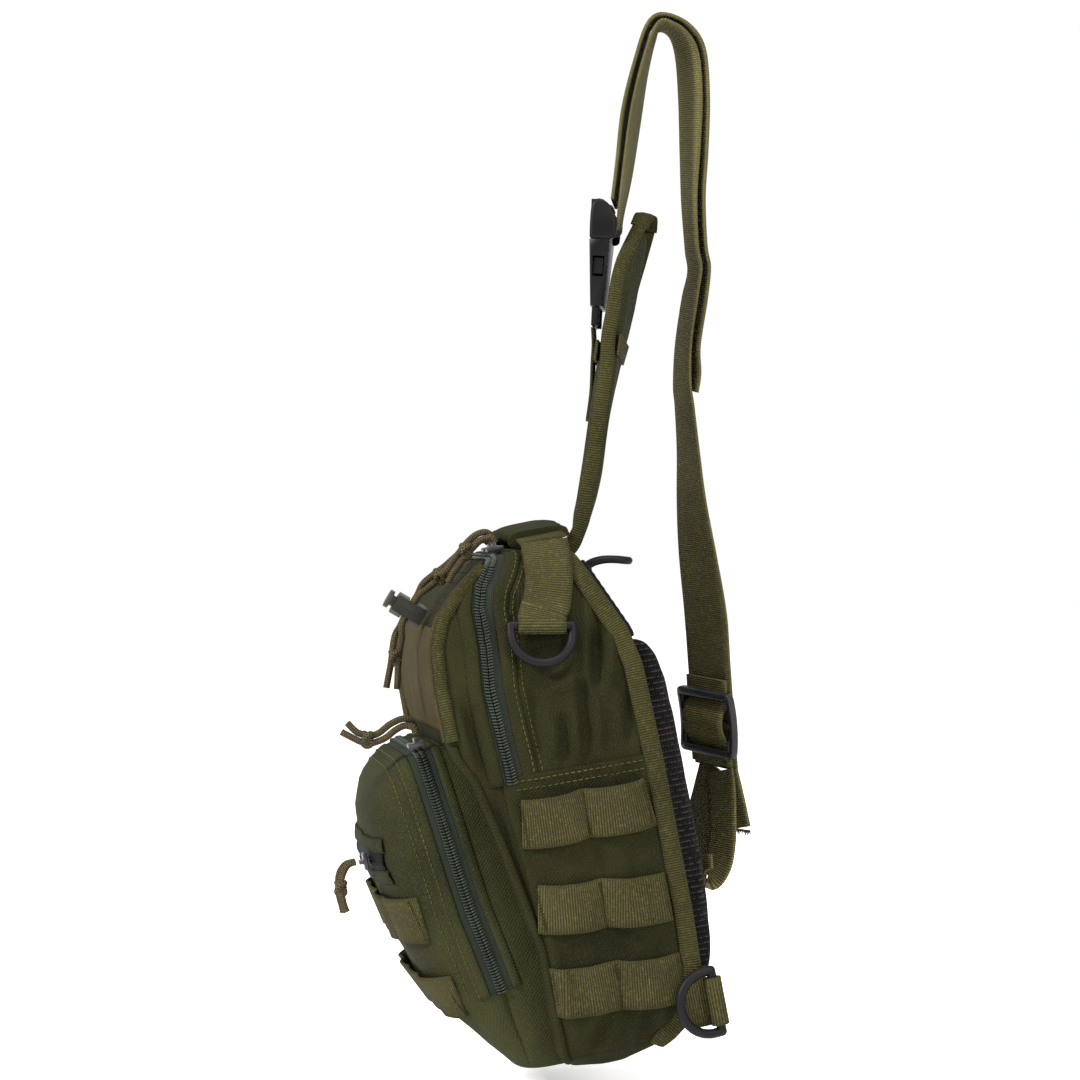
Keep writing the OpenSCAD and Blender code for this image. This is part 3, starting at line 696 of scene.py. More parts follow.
class Surface:
    """Finds the place and normal of the cloth under a point, so that trim lies on it."""

    def __init__(self, *builds):
        verts, faces = [], []
        for b in builds:
            base = len(verts)
            verts += b.verts
            faces += [tuple(i + base for i in f) for f in b.faces]
        self.tree = BVHTree.FromPolygons(verts, faces)

    def under(self, point, outward, reach=30):
        outward = Vector(outward).normalized()
        start = Vector(point) + outward * (reach * MM)
        place, normal, _, _ = self.tree.ray_cast(start, -outward, 2.5 * reach * MM)
        if place is None:
            return Vector(point), outward
        return place, (normal if normal.dot(outward) > 0 else -normal)


def blend_fold(obj):
    """Cloth that runs across the flap's fold line: its transform is baked into its mesh and it stays in place, with no
    body.
    """
    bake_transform(obj)


def claim(obj, body, replaced=(), blended=False):
    """Says which body a mesh moves with, which CAD nodes it replaces; a blended piece is baked in place and moves with
    no body.
    """
    if blended:
        blend_fold(obj)
    else:
        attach(obj, body)
    if replaced:
        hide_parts(*replaced)
    return obj


def piece(build, name, material, body, replaced=(), thick=0.0, blended=False):
    return claim(build.make(name, material, 0.0, thick), body, replaced, blended)


body_surface = Surface(rear, front)
claim(rear.make("body_rear", BODY, 0.01, 1.5), "bag", ["main_shell"])
piece(front, "body_front", BODY, "main_flap", ["flap_shell"], 1.5, True)


# ---------- trim that lies on a surface ----------
def strip_lines(surface, path, offsets, lifts):
    """path holds (x, y, z, outward x, y, z) in metres; offsets run across it in millimetres."""
    rows = []
    n = len(path)
    for i in range(n):
        c = Vector(path[i][:3])
        out = Vector(path[i][3:6]).normalized()
        way = (Vector(path[min(i + 1, n - 1)][:3]) - Vector(path[max(i - 1, 0)][:3])).normalized()
        across = out.cross(way).normalized()
        line = []
        for a, lift in zip(offsets, lifts):
            place, normal = surface.under(c + across * (a * MM), out)
            line.append(place + out.lerp(normal, 0.5).normalized() * (lift * MM))
        rows.append(line)
    return rows


def strip(build, surface, path, offsets, lifts):
    lines = strip_lines(surface, path, offsets, lifts)
    lengths = perimeter([line[len(line) // 2] for line in lines])
    build.grid(lines, [[s] * len(offsets) for s in lengths], [list(offsets)] * len(lines))


def stitches(build, surface, path, offset, pitch=3.2, long=2.2, lift=0.25, wide=0.55):
    line = strip_lines(surface, resample(path, 2.0 * MM), [offset], [lift])
    dense = resample([list(p[0]) for p in line], pitch * MM)
    out = Vector(path[len(path) // 2][3:6])
    for a, b in zip(dense, dense[1:]):
        build.bead((a + b) / 2, b - a, out, long, wide, 0.5)


def teeth(build, surface, path, offset, pitch, long, wide, high, lift):
    fine = resample(path, pitch * MM)
    n = len(fine)
    for i in range(n):
        c, out = Vector(fine[i][:3]), Vector(fine[i][3:6]).normalized()
        way = (Vector(fine[min(i + 1, n - 1)][:3]) - Vector(fine[max(i - 1, 0)][:3])).normalized()
        across = out.cross(way).normalized()
        place, normal = surface.under(c + across * (offset * MM), out)
        tilt = across + way * 0.22 * (1 if offset > 0 else -1)
        build.bead(place + normal * (lift * MM), tilt, normal, long, wide, high)


def zip_path(side, z_from):
    """The main zip from its lower end up the side to the middle of the top, with its outward directions."""
    outline = [(x, z) for z, x in HALF_X if z >= 200]
    low = [(at(HALF_X, z), z) for z in np.arange(z_from, 199, 8)]
    corner = [(57, TOP_Z + 1.2), (45, TOP_Z + 1.4), (25, TOP_Z + 1.5), (0, TOP_Z + 1.5)]
    line = resample(smooth([(x, 0, z) for x, z in low + outline + corner], 5), 3.0)
    out = []
    for i, (x, _, z) in enumerate(line):
        a, b = line[max(i - 1, 0)], line[min(i + 1, len(line) - 1)]
        dx, dz = b[0] - a[0], b[2] - a[2]
        y = at(ZIP_Y, min(z, TOP_Z))
        out.append(list(bag(side * x, y, z)) + list(bag_way(side * dz, -0.12, -dx)))
    return out


def mirrored_path(maker, z_from):
    """Left side up, over the top, and down the right side."""
    left, right = maker(1, z_from), maker(-1, z_from)
    return left + right[:-1][::-1]


MAIN_ZIP_END = 153
main_zip = mirrored_path(zip_path, MAIN_ZIP_END)
rear_tape, front_tape, rear_teeth, front_teeth, lips, front_lip, seams = [Build() for _ in range(7)]
strip(rear_tape, body_surface, main_zip, [-0.2, -2, -4, -6.5, -7.5], [1.1, 1.0, 0.9, 0.8, 0.2])
strip(front_tape, body_surface, main_zip, [6.5, 5.5, 4, 2, 0.2], [0.2, 0.8, 0.9, 1.0, 1.1])
teeth(rear_teeth, body_surface, main_zip, -1.5, 1.6, 3.0, 1.0, 1.5, 1.6)
teeth(front_teeth, body_surface, main_zip, 1.5, 1.6, 3.0, 1.0, 1.5, 1.6)
strip(lips, body_surface, main_zip, [-6.4, -7.2, -9.5, -13.5, -15], [0.9, 1.7, 1.6, 1.0, 0.1])
strip(front_lip, body_surface, main_zip, [12, 10, 7.5, 5, 4.2], [0.1, 0.9, 1.9, 2.4, 1.4])
stitches(seams, body_surface, main_zip, -12.6, lift=1.1)
stitches(seams, body_surface, main_zip, -17.0, lift=0.25)


piece(rear_tape, "main_tape_rear", TAPE, "bag", ["main_zip_rear"], 0.8)
piece(rear_teeth, "main_teeth_rear", TEETH, "bag")
piece(front_tape, "main_tape_front", TAPE, "main_flap", ["main_zip_front"], 0.8, True)
piece(front_teeth, "main_teeth_front", TEETH, "main_flap", blended=True)
piece(lips, "zip_lip_rear", BODY, "bag", thick=0.9)
piece(front_lip, "zip_lip_front", BODY, "main_flap", thick=0.9, blended=True)
piece(seams, "zip_stitching", THREAD, "bag")

# ---------- side panels, webbing rows ----------


def side_point(side, y, z):
    return list(bag(side * at(HALF_X, z), y, z)) + list(bag_way(side, 0, 0))


def side_line(side, points, steps=6):
    return [side_point(side, y, z) for y, z in smooth(points, steps)]


def side_place(side, y, z):
    """The cloth's place on a side of the bag."""
    return body_surface.under(Vector(side_point(side, y, z)[:3]), bag_way(side, 0, 0))[0]


PANEL_COLS = 41
PANEL_TOP = 156.3
for side, word in ((1, "left"), (-1, "right")):
    panel = Build()
    heights = list(np.linspace(8, 146, 44)) + [150, 153, 155.2, 156.2, 156.4]
    rows = []
    for z in heights:
        first = -77.5 - 5.5 * step(z, 60, 156)
        line = []
        for k in range(PANEL_COLS):
            t = k / (PANEL_COLS - 1)
            y = min(first + (-6.5 - first) * t, at(BACK_Y, z) - 4)
            bulge = abs(math.sin(t * 2 * math.pi)) ** 1.3 * (1 - step(z, 128, 148)) * step(z, 8, 30)
            slack = 1.2 + 2.0 * bulge + 1.0 * wander(y * 0.08, z * 0.06, 4.4 * side) + 0.5 * hump(z, 151, 5)
            slack += 0.9 * wander(y * 0.2, z * 0.09, 1.4 * side)
            slack *= step(z, 6, 14) * 0.75 + 0.25
            if z > PANEL_TOP:
                slack = 0.0
            line.append(side_place(side, y, z - 2.0 * t) + bag_way(side, 0, 0) * (slack * MM))
        rows.append(line if side > 0 else line[::-1])
    panel.grid(rows, [[k * 1.8 for k in range(PANEL_COLS)]] * len(rows), [[z] * PANEL_COLS for z in heights])
    piece(panel, f"side_panel_{word}", BODY, "bag", ["side_panels"], 0.8)
    hem = Build()
    stitches(hem, body_surface, side_line(side, [(-77, 153.4), (-45, 152.6), (-9, 151.6)]), 0, lift=2.0)
    stitches(hem, body_surface, side_line(side, [(-77, 149.2), (-45, 148.4), (-9, 147.4)]), 0, lift=1.8)
    piece(hem, f"hem_stitching_{word}", THREAD, "bag")

ROW_PLACES = {"upper": (131.0, -1.5), "middle": (84.0, -6.0), "lower": (41.0, -5.0)}
ROW_FRONT, ROW_LONG, ROW_MIDDLE = -77.0, 67.0, -42.5
ROW_THICK = 1.7


def row_bow(t):
    """How far a row stands off the side along its length: two arches between three bar tacks."""
    return 1.2 + 4.6 * abs(math.sin(t * 2 * math.pi)) ** 0.8


def row_place(t, z_mid, slope):
    """Depth and height along a row, t from 0 at its front end to 1 at its back end."""
    y = ROW_FRONT + ROW_LONG * t
    return y, z_mid + (y - ROW_MIDDLE) * math.tan(math.radians(slope))


def bar_tack(build, place_at, out, way, lift):
    """A bar tack across a row; place_at gives the cloth's place at a height above the row's middle."""
    for j in range(14):
        up = -ROW_W / 2 + 2.2 + j * (ROW_W - 4.4) / 13
        build.bead(place_at(up) + out * (lift * MM), way, out, 2.4, 0.8, 0.6)


tacks = Build()
for word, (z_mid, slope) in ROW_PLACES.items():
    side_row = Build()
    for side in (1, -1):
        out = bag_way(side, 0, 0)
        centres = []
        for k in range(49):
            t = k / 48
            y, z = row_place(t, z_mid, slope)
            wave = 0.9 * wander(t * 4, z_mid, side * 2.0) - 1.1 * abs(math.sin(t * 2 * math.pi))
            lift = (row_bow(t) + 1.1) * MM
            centres.append(side_place(side, y, z) + out * lift + bag_way(0, 0, 1) * (wave * MM))
        side_row.sweep(centres, [bag_way(0, 0, 1)] * len(centres), strap_profile(ROW_W, ROW_THICK, 6))
        for t in (0.02, 0.5, 0.98):
            y, z = row_place(t, z_mid, slope)
            bar_tack(tacks, lambda up: side_place(side, y, z + up), out, bag_way(0, 1, 0.4), row_bow(t) + 2.05)
    piece(side_row, f"side_row_{word}", ROWS, "bag", [f"side_webbing_{word}"])

# ---------- bound edges ----------
EDGE_PROFILE = [(-5, -0.9), (-5, 0.4), (-4, 1.2), (-2, 1.7), (2, 1.7), (4.2, 1.3), (5, 0.2), (4.6, -0.9)]
PIPING_PROFILE = [(-2.0, -1.7), (-2.0, 1.7), (0, 2.2), (1.7, 1.2), (1.7, -1.2), (0, -2.2)]
FLAP_EDGE_PROFILE = [(-3.0, -2.6), (-3.0, 2.6), (0, 3.3), (2.6, 1.8), (2.6, -1.8), (0, -3.3)]
BROWN_EDGE_PROFILE = [(-3.4, -1.0), (-3.4, 1.0), (3.0, 1.2), (3.6, 0), (3.0, -1.2)]
edges = Build()
for side in (1, -1):
    centres = [bag(side * (at(HALF_X, z) - 0.2), at(BACK_Y, z) - 3.6, z) + bag_way(side, 0, 0) * (1.0 * MM)
               for z in np.arange(6, 263, 2.5)]
    edges.sweep(centres, [bag_way(0, 1, 0) * side] * len(centres), [(a, -h) for a, h in EDGE_PROFILE])
piece(edges, "edge_binding", BINDING, "bag", ["body_binding"])
piping = Build()
for side in (1, -1):
    low = [bag(side * (at(HALF_X, z) - 1.6), at(FRONT_Y, z) + 1.6, z) for z in np.arange(6, 178, 3)]
    piping.sweep(low, [bag_way(side, -1, 0)] * len(low), PIPING_PROFILE)
piece(piping, "front_edge_piping", BODY, "bag")
flap_edge, brown_edge = Build(), Build()
for side in (1, -1):
    high, inner = [], []
    for z in list(np.arange(180, 254, 3)) + [256, 258.5, 261, 263]:
        high.append(bag(side * (at(HALF_X, z) - 0.6), at(FRONT_Y, z) + 2.0, z))
        inner.append(bag(side * (at(HALF_X, z) - 4.5), at(FRONT_Y, z) - 0.8, z))
    flap_edge.sweep(high, [bag_way(side, -1, 0)] * len(high), FLAP_EDGE_PROFILE)
    brown_edge.sweep(inner, [bag_way(side, -0.3, 0)] * len(inner), BROWN_EDGE_PROFILE)
piece(flap_edge, "flap_edge_binding", BINDING, "main_flap", ["flap_binding"])
piece(brown_edge, "flap_edge_fold", LOOP_PILE, "main_flap")

# ---------- loop panel on the flap ----------
FORWARD = bag_way(0, -1, 0)
panel = Build()
rows = []
heights = np.linspace(184, 238, 22)
for z in heights:
    half = 84 - 12 * step(z, 204, 238) - 12 * (1 - step(z, 184, 190))
    rows.append([body_surface.under(bag(x, at(FRONT_Y, z), z), FORWARD)[0] + FORWARD * (1.0 * MM)
                 for x in np.linspace(-half, half, 41)])
panel.grid(rows, [list(np.linspace(-80, 80, 41))] * len(rows), [[z] * 41 for z in heights])
piece(panel, "loop_panel", LOOP_PILE, "main_flap", ["flap_panel"], 1.4)

# ---------- front pocket ----------
POCKET_HEIGHTS = [2, 3, 5, 8, 12] + list(np.arange(17, 150, 4.5)) \
    + [153, 157, 160.5, 164, 167, 169.5, 171.5, 173, 174.2, 175]
POCKET_POWER = 4.2
POCKET_GUSSET, POCKET_FRONT = 8, 26


def pocket_swell(x, z):
    return 2.2 * wander(x * 0.028, z * 0.03, 9.1) + 0.7 * wander(x * 0.08, z * 0.07, 2.7)


def pocket_column(z, side):
    """One half of the pocket's section, from the bag's front round to the middle of the pocket's front."""
    rear_y, tip_y, hx = at(FRONT_Y, z) + 3, at(POCKET_Y, z), at(POCKET_X, z)
    depth = rear_y - tip_y
    share = min(max((rear_y - at(POCKET_ZIP_Y, z)) / depth, 0.15), 0.8)
    n = POCKET_POWER
    start = math.asin(share ** (n / 2))
    pts = []
    for k in range(POCKET_GUSSET + 1):
        s = share * k / POCKET_GUSSET
        pts.append((s, (1 - s ** n) ** (1 / n)))
    for k in range(1, POCKET_FRONT + 1):
        a = start + (math.pi / 2 - start) * (k / POCKET_FRONT) ** 0.9
        pts.append((math.sin(a) ** (2 / n), max(math.cos(a), 0.0) ** (2 / n)))
    out = []
    ends = step(z, 2, 20) * (1 - step(z, 158, 174))
    for s, c in pts:
        x, y = hx * c * side, rear_y - depth * s
        swell = pocket_swell(x, z) * ends * s
        pinch = 1.6 * hump(s, share, 0.12) * ends
        slack = 0.8 * wander(y * 0.07, z * 0.05, side * 6.0) * ends
        out.append((x - side * (pinch + slack), y - swell * 0.9 + 0.6, z))
    return out


gusset, pouch = Build(), Build()
left_p = [pocket_column(z, 1) for z in POCKET_HEIGHTS]
right_p = [pocket_column(z, -1) for z in POCKET_HEIGHTS]
K = POCKET_GUSSET
for cols, flip in ((left_p, True), (right_p, False)):
    lines = [column_line(c[:K + 1])[::-1 if flip else 1] for c in cols]
    gusset.grid(lines, [perimeter(l) for l in lines], [[z] * (K + 1) for z in POCKET_HEIGHTS])
lines = [column_line(r[K:-1] + l[K:][::-1]) for l, r in zip(left_p, right_p)]
pouch.grid(lines, [[u - perimeter(l)[-1] / 2 for u in perimeter(l)] for l in lines],
           [[z] * len(lines[0]) for z in POCKET_HEIGHTS])


def pocket_lid(left, right, lift):
    """The closing surface between both halves of the pocket at its top or bottom."""
    lines = []
    for l, r in zip(left, right):
        lines.append([bag(r[0] + (l[0] - r[0]) * t, l[1], l[2] + lift * math.sin(math.pi * t))
                      for t in np.linspace(0, 1, 21)])
    return lines[::-1] if lift > 0 else lines


for index, lift in ((-1, 1.0), (0, -0.8)):
    left, right = left_p[index], right_p[index]
    for build, lid in ((gusset, pocket_lid(left[:K + 1], right[:K + 1], lift)),
                       (pouch, pocket_lid(left[K:], right[K:], lift))):
        build.grid(lid, [[p[0] / MM for p in l] for l in lid], [[p[1] / MM for p in l] for l in lid])
pocket_surface = Surface(gusset, pouch)
piece(gusset, "pocket_gusset_cloth", POCKET_PAINTED_LIT, "bag", ["pocket_gusset"], 1.3)
piece(pouch, "pocket_cloth_painted_lit", POCKET_PAINTED_LIT, "pocket_front", ["pocket_shell"], 1.3)


def pocket_zip_path(side, z_from):
    zs = list(np.arange(z_from, 163, 3.5)) + [165, 168, 170.5, 172.5]
    top = [(62, -118, 175.6), (54, -118, 176), (30, -118, 176.2), (0, -118, 176.3)]
    line = resample(smooth([(at(POCKET_X, z), at(POCKET_ZIP_Y, z), z) for z in zs] + top, 4), 3.0)
    out = []
    for i, (x, y, z) in enumerate(line):
        a, b = line[max(i - 1, 0)], line[min(i + 1, len(line) - 1)]
        out.append(list(bag(side * x, y, z)) + list(bag_way(side * (b[2] - a[2]), 0, -(b[0] - a[0]))))
    return out


pocket_zip = mirrored_path(pocket_zip_path, 46)
rear_tape, front_tape, rear_teeth, front_teeth = [Build() for _ in range(4)]
strip(rear_tape, pocket_surface, pocket_zip, [-0.2, -2, -4, -6.5, -7.2], [1.0, 0.9, 0.8, 0.7, 0.1])
strip(front_tape, pocket_surface, pocket_zip, [7.2, 6.5, 4, 2, 0.2], [0.1, 0.7, 0.8, 0.9, 1.0])
teeth(rear_teeth, pocket_surface, pocket_zip, -1.5, 1.6, 3.0, 1.0, 1.4, 1.5)
teeth(front_teeth, pocket_surface, pocket_zip, 1.5, 1.6, 3.0, 1.0, 1.4, 1.5)
piece(rear_tape, "pocket_tape_rear", TAPE, "bag", ["pocket_zip_rear"], 0.7)
piece(front_tape, "pocket_tape_front", TAPE, "pocket_front", ["pocket_zip_front"], 0.7)
piece(rear_teeth, "pocket_teeth_rear", TEETH, "bag")
piece(front_teeth, "pocket_teeth_front", TEETH, "pocket_front")
lip, lip_rear, seam = Build(), Build(), Build()
strip(lip, pocket_surface, pocket_zip, [14, 12.5, 9.5, 7.2, 6.4], [0.0, 0.7, 1.3, 1.5, 0.8])
strip(lip_rear, pocket_surface, pocket_zip, [-6.2, -7.0, -8.6, -10.5, -11.2], [0.8, 1.4, 1.2, 0.7, 0.0])
stitches(seam, pocket_surface, pocket_zip, 12.0, lift=1.0)
stitches(seam, pocket_surface, pocket_zip, 17.5, lift=0.3)
piece(lip, "pocket_lip_front", POCKET_PAINTED_LIT, "pocket_front", thick=0.9)
piece(lip_rear, "pocket_lip_rear", POCKET_PAINTED_LIT, "bag", thick=0.9)
piece(seam, "pocket_stitching", THREAD, "pocket_front")


# ---------- slit zip and webbing rows on the pocket ----------
def slit_line(half):
    """Path of the slit zip and its trim across the pocket's front."""
    return [list(bag(x, at(POCKET_Y, SLIT_Z), SLIT_Z)) + list(FORWARD) for x in np.linspace(-half, half, 41)]


SLIT_Z = 122.5
slit, slit_lip, slit_seam = Build(), Build(), Build()
strip(slit, pocket_surface, slit_line(62), [-6.5, -6, -3, -0.8, 0, 0.8, 3, 6, 6.5],
      [0.1, 0.7, 0.8, 1.4, 0.9, 1.4, 0.8, 0.7, 0.1])
strip(slit_lip, pocket_surface, slit_line(64), [5.2, 5.8, 8, 11, 12], [0.6, 1.5, 1.4, 0.9, 0.1])
strip(slit_lip, pocket_surface, slit_line(64), [-12, -11, -8, -5.8, -5.2], [0.1, 0.9, 1.4, 1.5, 0.6])
stitches(slit_seam, pocket_surface, slit_line(63), 9.5, lift=1.4)
stitches(slit_seam, pocket_surface, slit_line(63), -9.5, lift=1.4)
piece(slit, "slit_tape", BLACK_TAPE, "pocket_front", ["slit_zip"], 0.7)
piece(slit_lip, "slit_lips", POCKET_PAINTED_LIT, "pocket_front", thick=0.8)
piece(slit_seam, "slit_stitching", THREAD, "pocket_front")

FRONT_ROW_START, FRONT_ROW_LONG = -72, 144


def front_row_bow(t):
    return 1.2 + 1.8 * abs(math.sin(t * 4 * math.pi))


def pocket_place(x, z):
    """The cloth's place on the pocket's front."""
    return pocket_surface.under(bag(x, at(POCKET_Y, z), z), FORWARD)[0]


pocket_rows, front_tacks = Build(), Build()
for z_mid in (89.7, 46.7):
    centres = []
    for k in range(61):
        t = k / 60
        x = FRONT_ROW_START + FRONT_ROW_LONG * t
        centres.append(pocket_place(x, z_mid) + FORWARD * (front_row_bow(t) * MM))
    tilt = bag_way(0, -(at(POCKET_Y, z_mid - 12) - at(POCKET_Y, z_mid + 12)), 24)
    pocket_rows.sweep(centres, [tilt] * len(centres), strap_profile(ROW_W, ROW_THICK, 6))
    for t in (0.012, 0.25, 0.5, 0.75, 0.988):
        x = FRONT_ROW_START + FRONT_ROW_LONG * t
        bar_tack(front_tacks, lambda up: pocket_place(x, z_mid + up), FORWARD, bag_way(1, 0, 0.4),
                 front_row_bow(t) + 0.95)
piece(pocket_rows, "front_rows", ROWS, "pocket_front", ["front_webbing"])
piece(front_tacks, "front_bar_tacks", DARK_THREAD, "pocket_front")
piece(tacks, "side_bar_tacks", DARK_THREAD, "bag")


# ---------- ring loops and rings ----------
upper = Build()
for side in (1, -1):
    c = bag(side * 93.5, -46, 229)
    stations = [(67.6, -33, 270.4), (75, -34, 264), (82.4, -36, 252.6), (88.2, -40, 241), (92, -43.5, 236)]
    centres = [bag(side * x, y, z) for x, y, z in smooth(stations, 6)]
    turn = [math.radians(a) for a in range(70, -230, -20)]
    out, up = Vector((side, 0, 0)), Vector((0, 0, 1))
    loop = [c + (out * math.cos(a) + up * math.sin(a)) * (3.6 * MM) for a in turn]
    whole = centres[:-1] + loop
    acrosses = []
    for i in range(len(whole)):
        t = min(i / len(centres), 1.0)
        acrosses.append(bag_way(0, 1, 0).lerp(Vector((0, 1, 0)), t) * (-side))
    upper.sweep(whole, acrosses, strap_profile(25, 1.9, 6))
piece(upper, "ring_straps_upper", ROWS, "bag", ["ring_loops_upper"])
lower = Build()
for side in (1, -1):
    c = bag(side * 109.6, 4, 23)
    out, back = bag_way(side, 0, 0), bag_way(0, 1, 0)
    flat = [bag(side * (at(HALF_X, 23) + 3.2), y, 23) for y in (-13, -9, -5, -1)]
    turn = [math.radians(a) for a in range(-110, 200, 20)]
    loop = [c + (back * math.cos(a) + out * math.sin(a)) * (3.7 * MM) for a in turn]
    whole = [Vector(p) for p in smooth([list(p) for p in flat + loop], 3)]
    lower.sweep(whole, [bag_way(0, 0, 1)] * len(whole), strap_profile(25, 1.8, 6))
piece(lower, "ring_straps_lower", ROWS, "bag", ["ring_loops_lower"])


def paint(node, material):
    """A CAD node that shows as it is, with its finish."""
    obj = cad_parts[node]
    if not obj.material_slots:
        obj.data.materials.append(material)
    for slot in obj.material_slots:
        slot.material = material


for name in ("ring_upper_left", "ring_upper_right", "ring_lower_left", "ring_lower_right"):
    paint(name, RING)

# ---------- handle ----------
SLEEVE_W, SLEEVE_H, SLEEVE_SIDES = 30.4, 8.0, 28
HANDLE = [(-66, 271.6), (-52, 273.4), (-28, 276), (0, 277), (28, 276), (52, 273.4), (66, 271.6)]
handle = Build()
centres = [bag(x, -33, z) for x, z in smooth(HANDLE, 6)]
handle.sweep(centres, [bag_way(0, 1, 0)] * len(centres), strap_profile(25, 1.8, 6))
piece(handle, "handle_strap", ROWS, "bag", ["handle_webbing"])
sleeve = Build()
line = smooth(HANDLE[1:-1], 14)
centres, profiles = [], []
for i, (x, z) in enumerate(line):
    t = i / (len(line) - 1)
    open_end = 1 + 0.10 * hump(t, 0.0, 0.06) + 0.10 * hump(t, 1.0, 0.06)
    shape = []
    for k in range(SLEEVE_SIDES):
        a = 2 * math.pi * k / SLEEVE_SIDES
        w = SLEEVE_W / 2 * math.copysign(abs(math.cos(a)) ** 0.75, math.cos(a)) * open_end
        h = SLEEVE_H / 2 * math.copysign(abs(math.sin(a)) ** 0.75, math.sin(a)) * open_end
        ruck = 1 + 0.10 * wander(t * 14, math.cos(a) * 1.5, math.sin(a) * 1.5) \
            + 0.05 * math.sin(t * 60 + 3 * math.cos(a))
        shape.append((w * ruck, h * ruck))
    centres.append(bag(x, -33, z))
    profiles.append(shape)
sleeve.sweep(centres, [bag_way(0, 1, 0)] * len(centres), profiles)
piece(sleeve, "handle_sleeve", BODY, "bag", ["handle_wrap"])


# ---------- pieces made from their CAD solid ----------
def cad_mesh(node, material):
    """A copy of a CAD node's mesh in the shared frame."""
    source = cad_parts[node]
    mesh = source.data.copy()
    mesh.transform(source.matrix_world)
    mesh.materials.clear()
    mesh.materials.append(material)
    return mesh


def shade_smooth(obj):
    obj.data.polygons.foreach_set("use_smooth", [True] * len(obj.data.polygons))


def set_places(obj, places):
    obj.data.vertices.foreach_set("co", places.astype(np.float32).ravel())
    obj.data.update()


def inflate(node, name, material, voxel, pressure, frames, cap, shrink):
    """A padded piece: the CAD solid a little smaller, remeshed, blown up as cloth, capped and smoothed."""
    obj = add_object(name, cad_mesh(node, material))
    remesh = obj.modifiers.new("remesh", "REMESH")
    remesh.mode, remesh.voxel_size = "VOXEL", voxel * MM
    apply_modifiers(obj)
    rest = np.array([v.co for v in obj.data.vertices])
    normals = np.array([v.normal for v in obj.data.vertices])
    start = rest - normals * (shrink * MM)
    set_places(obj, start)
    cloth = obj.modifiers.new("cloth", "CLOTH")
    cloth.settings.use_pressure = True
    cloth.settings.uniform_pressure_force = pressure
    cloth.settings.effector_weights.gravity = 0
    cloth.settings.quality = 5
    scene = bpy.context.scene
    scene.frame_start, scene.frame_end = 1, frames
    for number in range(1, frames + 1):
        scene.frame_set(number)
    graph = bpy.context.evaluated_depsgraph_get()
    moved = bpy.data.meshes.new_from_object(obj.evaluated_get(graph))
    obj.modifiers.clear()
    move = np.array([v.co for v in moved.vertices]) - start
    size = np.linalg.norm(move, axis=1, keepdims=True)
    move *= np.minimum(1.0, cap * MM / np.maximum(size, 1e-9))
    set_places(obj, start + move)
    scene.frame_set(1)
    relax = obj.modifiers.new("relax", "SMOOTH")
    relax.factor, relax.iterations = 0.5, 3
    division = obj.modifiers.new("division", "SUBSURF")
    division.levels = division.render_levels = 1
    apply_modifiers(obj)
    shade_smooth(obj)
    return obj


back_pad = inflate("back_pad", "back_pad_mesh", SPACER, 4, 3.0, 14, 3.0, 1.2)
claim(back_pad, "bag", ["back_pad"])
pad = inflate("shoulder_pad", "shoulder_pad_cloth", PAD, 3, 3.0, 12, 2.5, 0.9)
claim(pad, "bag", ["shoulder_pad"])

# ---------- shoulder pad trim ----------
PAD_ROUTE = [(0, -61, -290, -6), (0, -52, -283, -6), (0, -46, -271, -8), (0, -41, -249, -10), (0, -36, -213, -9),
             (0, -30.5, -183, -12), (0, -26, -162, -15), (0, -20, -134, -18), (0, -11.5, -110, -18)]
PAD_WIDTHS = [40, 44, 48, 56, 60, 62, 62, 56, 30]


def yawed(yaw):
    return (math.cos(math.radians(yaw)), math.sin(math.radians(yaw)), 0.0)


def yaw_across(yaw):
    """The direction across a strap turned by yaw degrees about the vertical."""
    return Vector(yawed(yaw))


def trim_profile(half, crown):
    """Section of the pad's binding: a tape folded round the edge, thicker over its middle."""
    side = [(-half, -1.2), (-half, 1.2), (-crown, 2.0), (crown, 2.0)]
    return side + [(-a, -h) for a, h in side]


pad_line = smooth(PAD_ROUTE, 8)
pad_half = smooth([(w, 0) for w in PAD_WIDTHS], 8)[:, 0] / 2
pad_trim = Build()
for side in (1, -1):
    centres = [row(*p[:3]) + yaw_across(p[3]) * (side * h * MM) for p, h in zip(pad_line, pad_half)]
    centres = [c + Vector((0, 1.2 * wander(i * 0.12, side * 3.0, 0) * MM, 0)) for i, c in enumerate(centres)]
    pad_trim.sweep(centres, [Vector((0, -1, -0.2))] * len(centres), trim_profile(3.7, 1.6))
top, top_half = pad_line[-1], pad_half[-1]
centres = [row(*top[:3]) + yaw_across(top[3]) * (top_half * math.cos(a) * MM)
           + Vector((0, 0.25, 0.97)) * (top_half * 0.45 * math.sin(a) * MM) for a in np.linspace(0, math.pi, 17)]
pad_trim.sweep(centres, [Vector((0, -1, 0.2))] * len(centres), trim_profile(5, 2))
piece(pad_trim, "pad_edge_binding", BINDING, "bag", ["pad_binding"])


def pad_station(place, d):
    """A station at a place along the pad's route (4.5 is half way from 4 to 5), d in front of its middle."""
    low, high = np.array(PAD_ROUTE[int(place)], float), np.array(PAD_ROUTE[math.ceil(place)], float)
    x, y, z, yaw = (low + high) / 2
    lean = math.radians(PAD_YAW)
    return np.array([x - d * math.sin(lean), y - d * math.cos(lean), z - d * 0.22, yaw])


def ribbons(name, material, node, slot, width, *routes):
    """Straps along routes of (x, y, z, yaw), as one piece."""
    build = Build()
    for route in routes:
        line = smooth(route, 6)
        build.sweep([row(*p[:3]) for p in line], [yaw_across(p[3]) for p in line], strap_profile(width, STRAP_T))
    piece(build, name, material, "bag", [node])


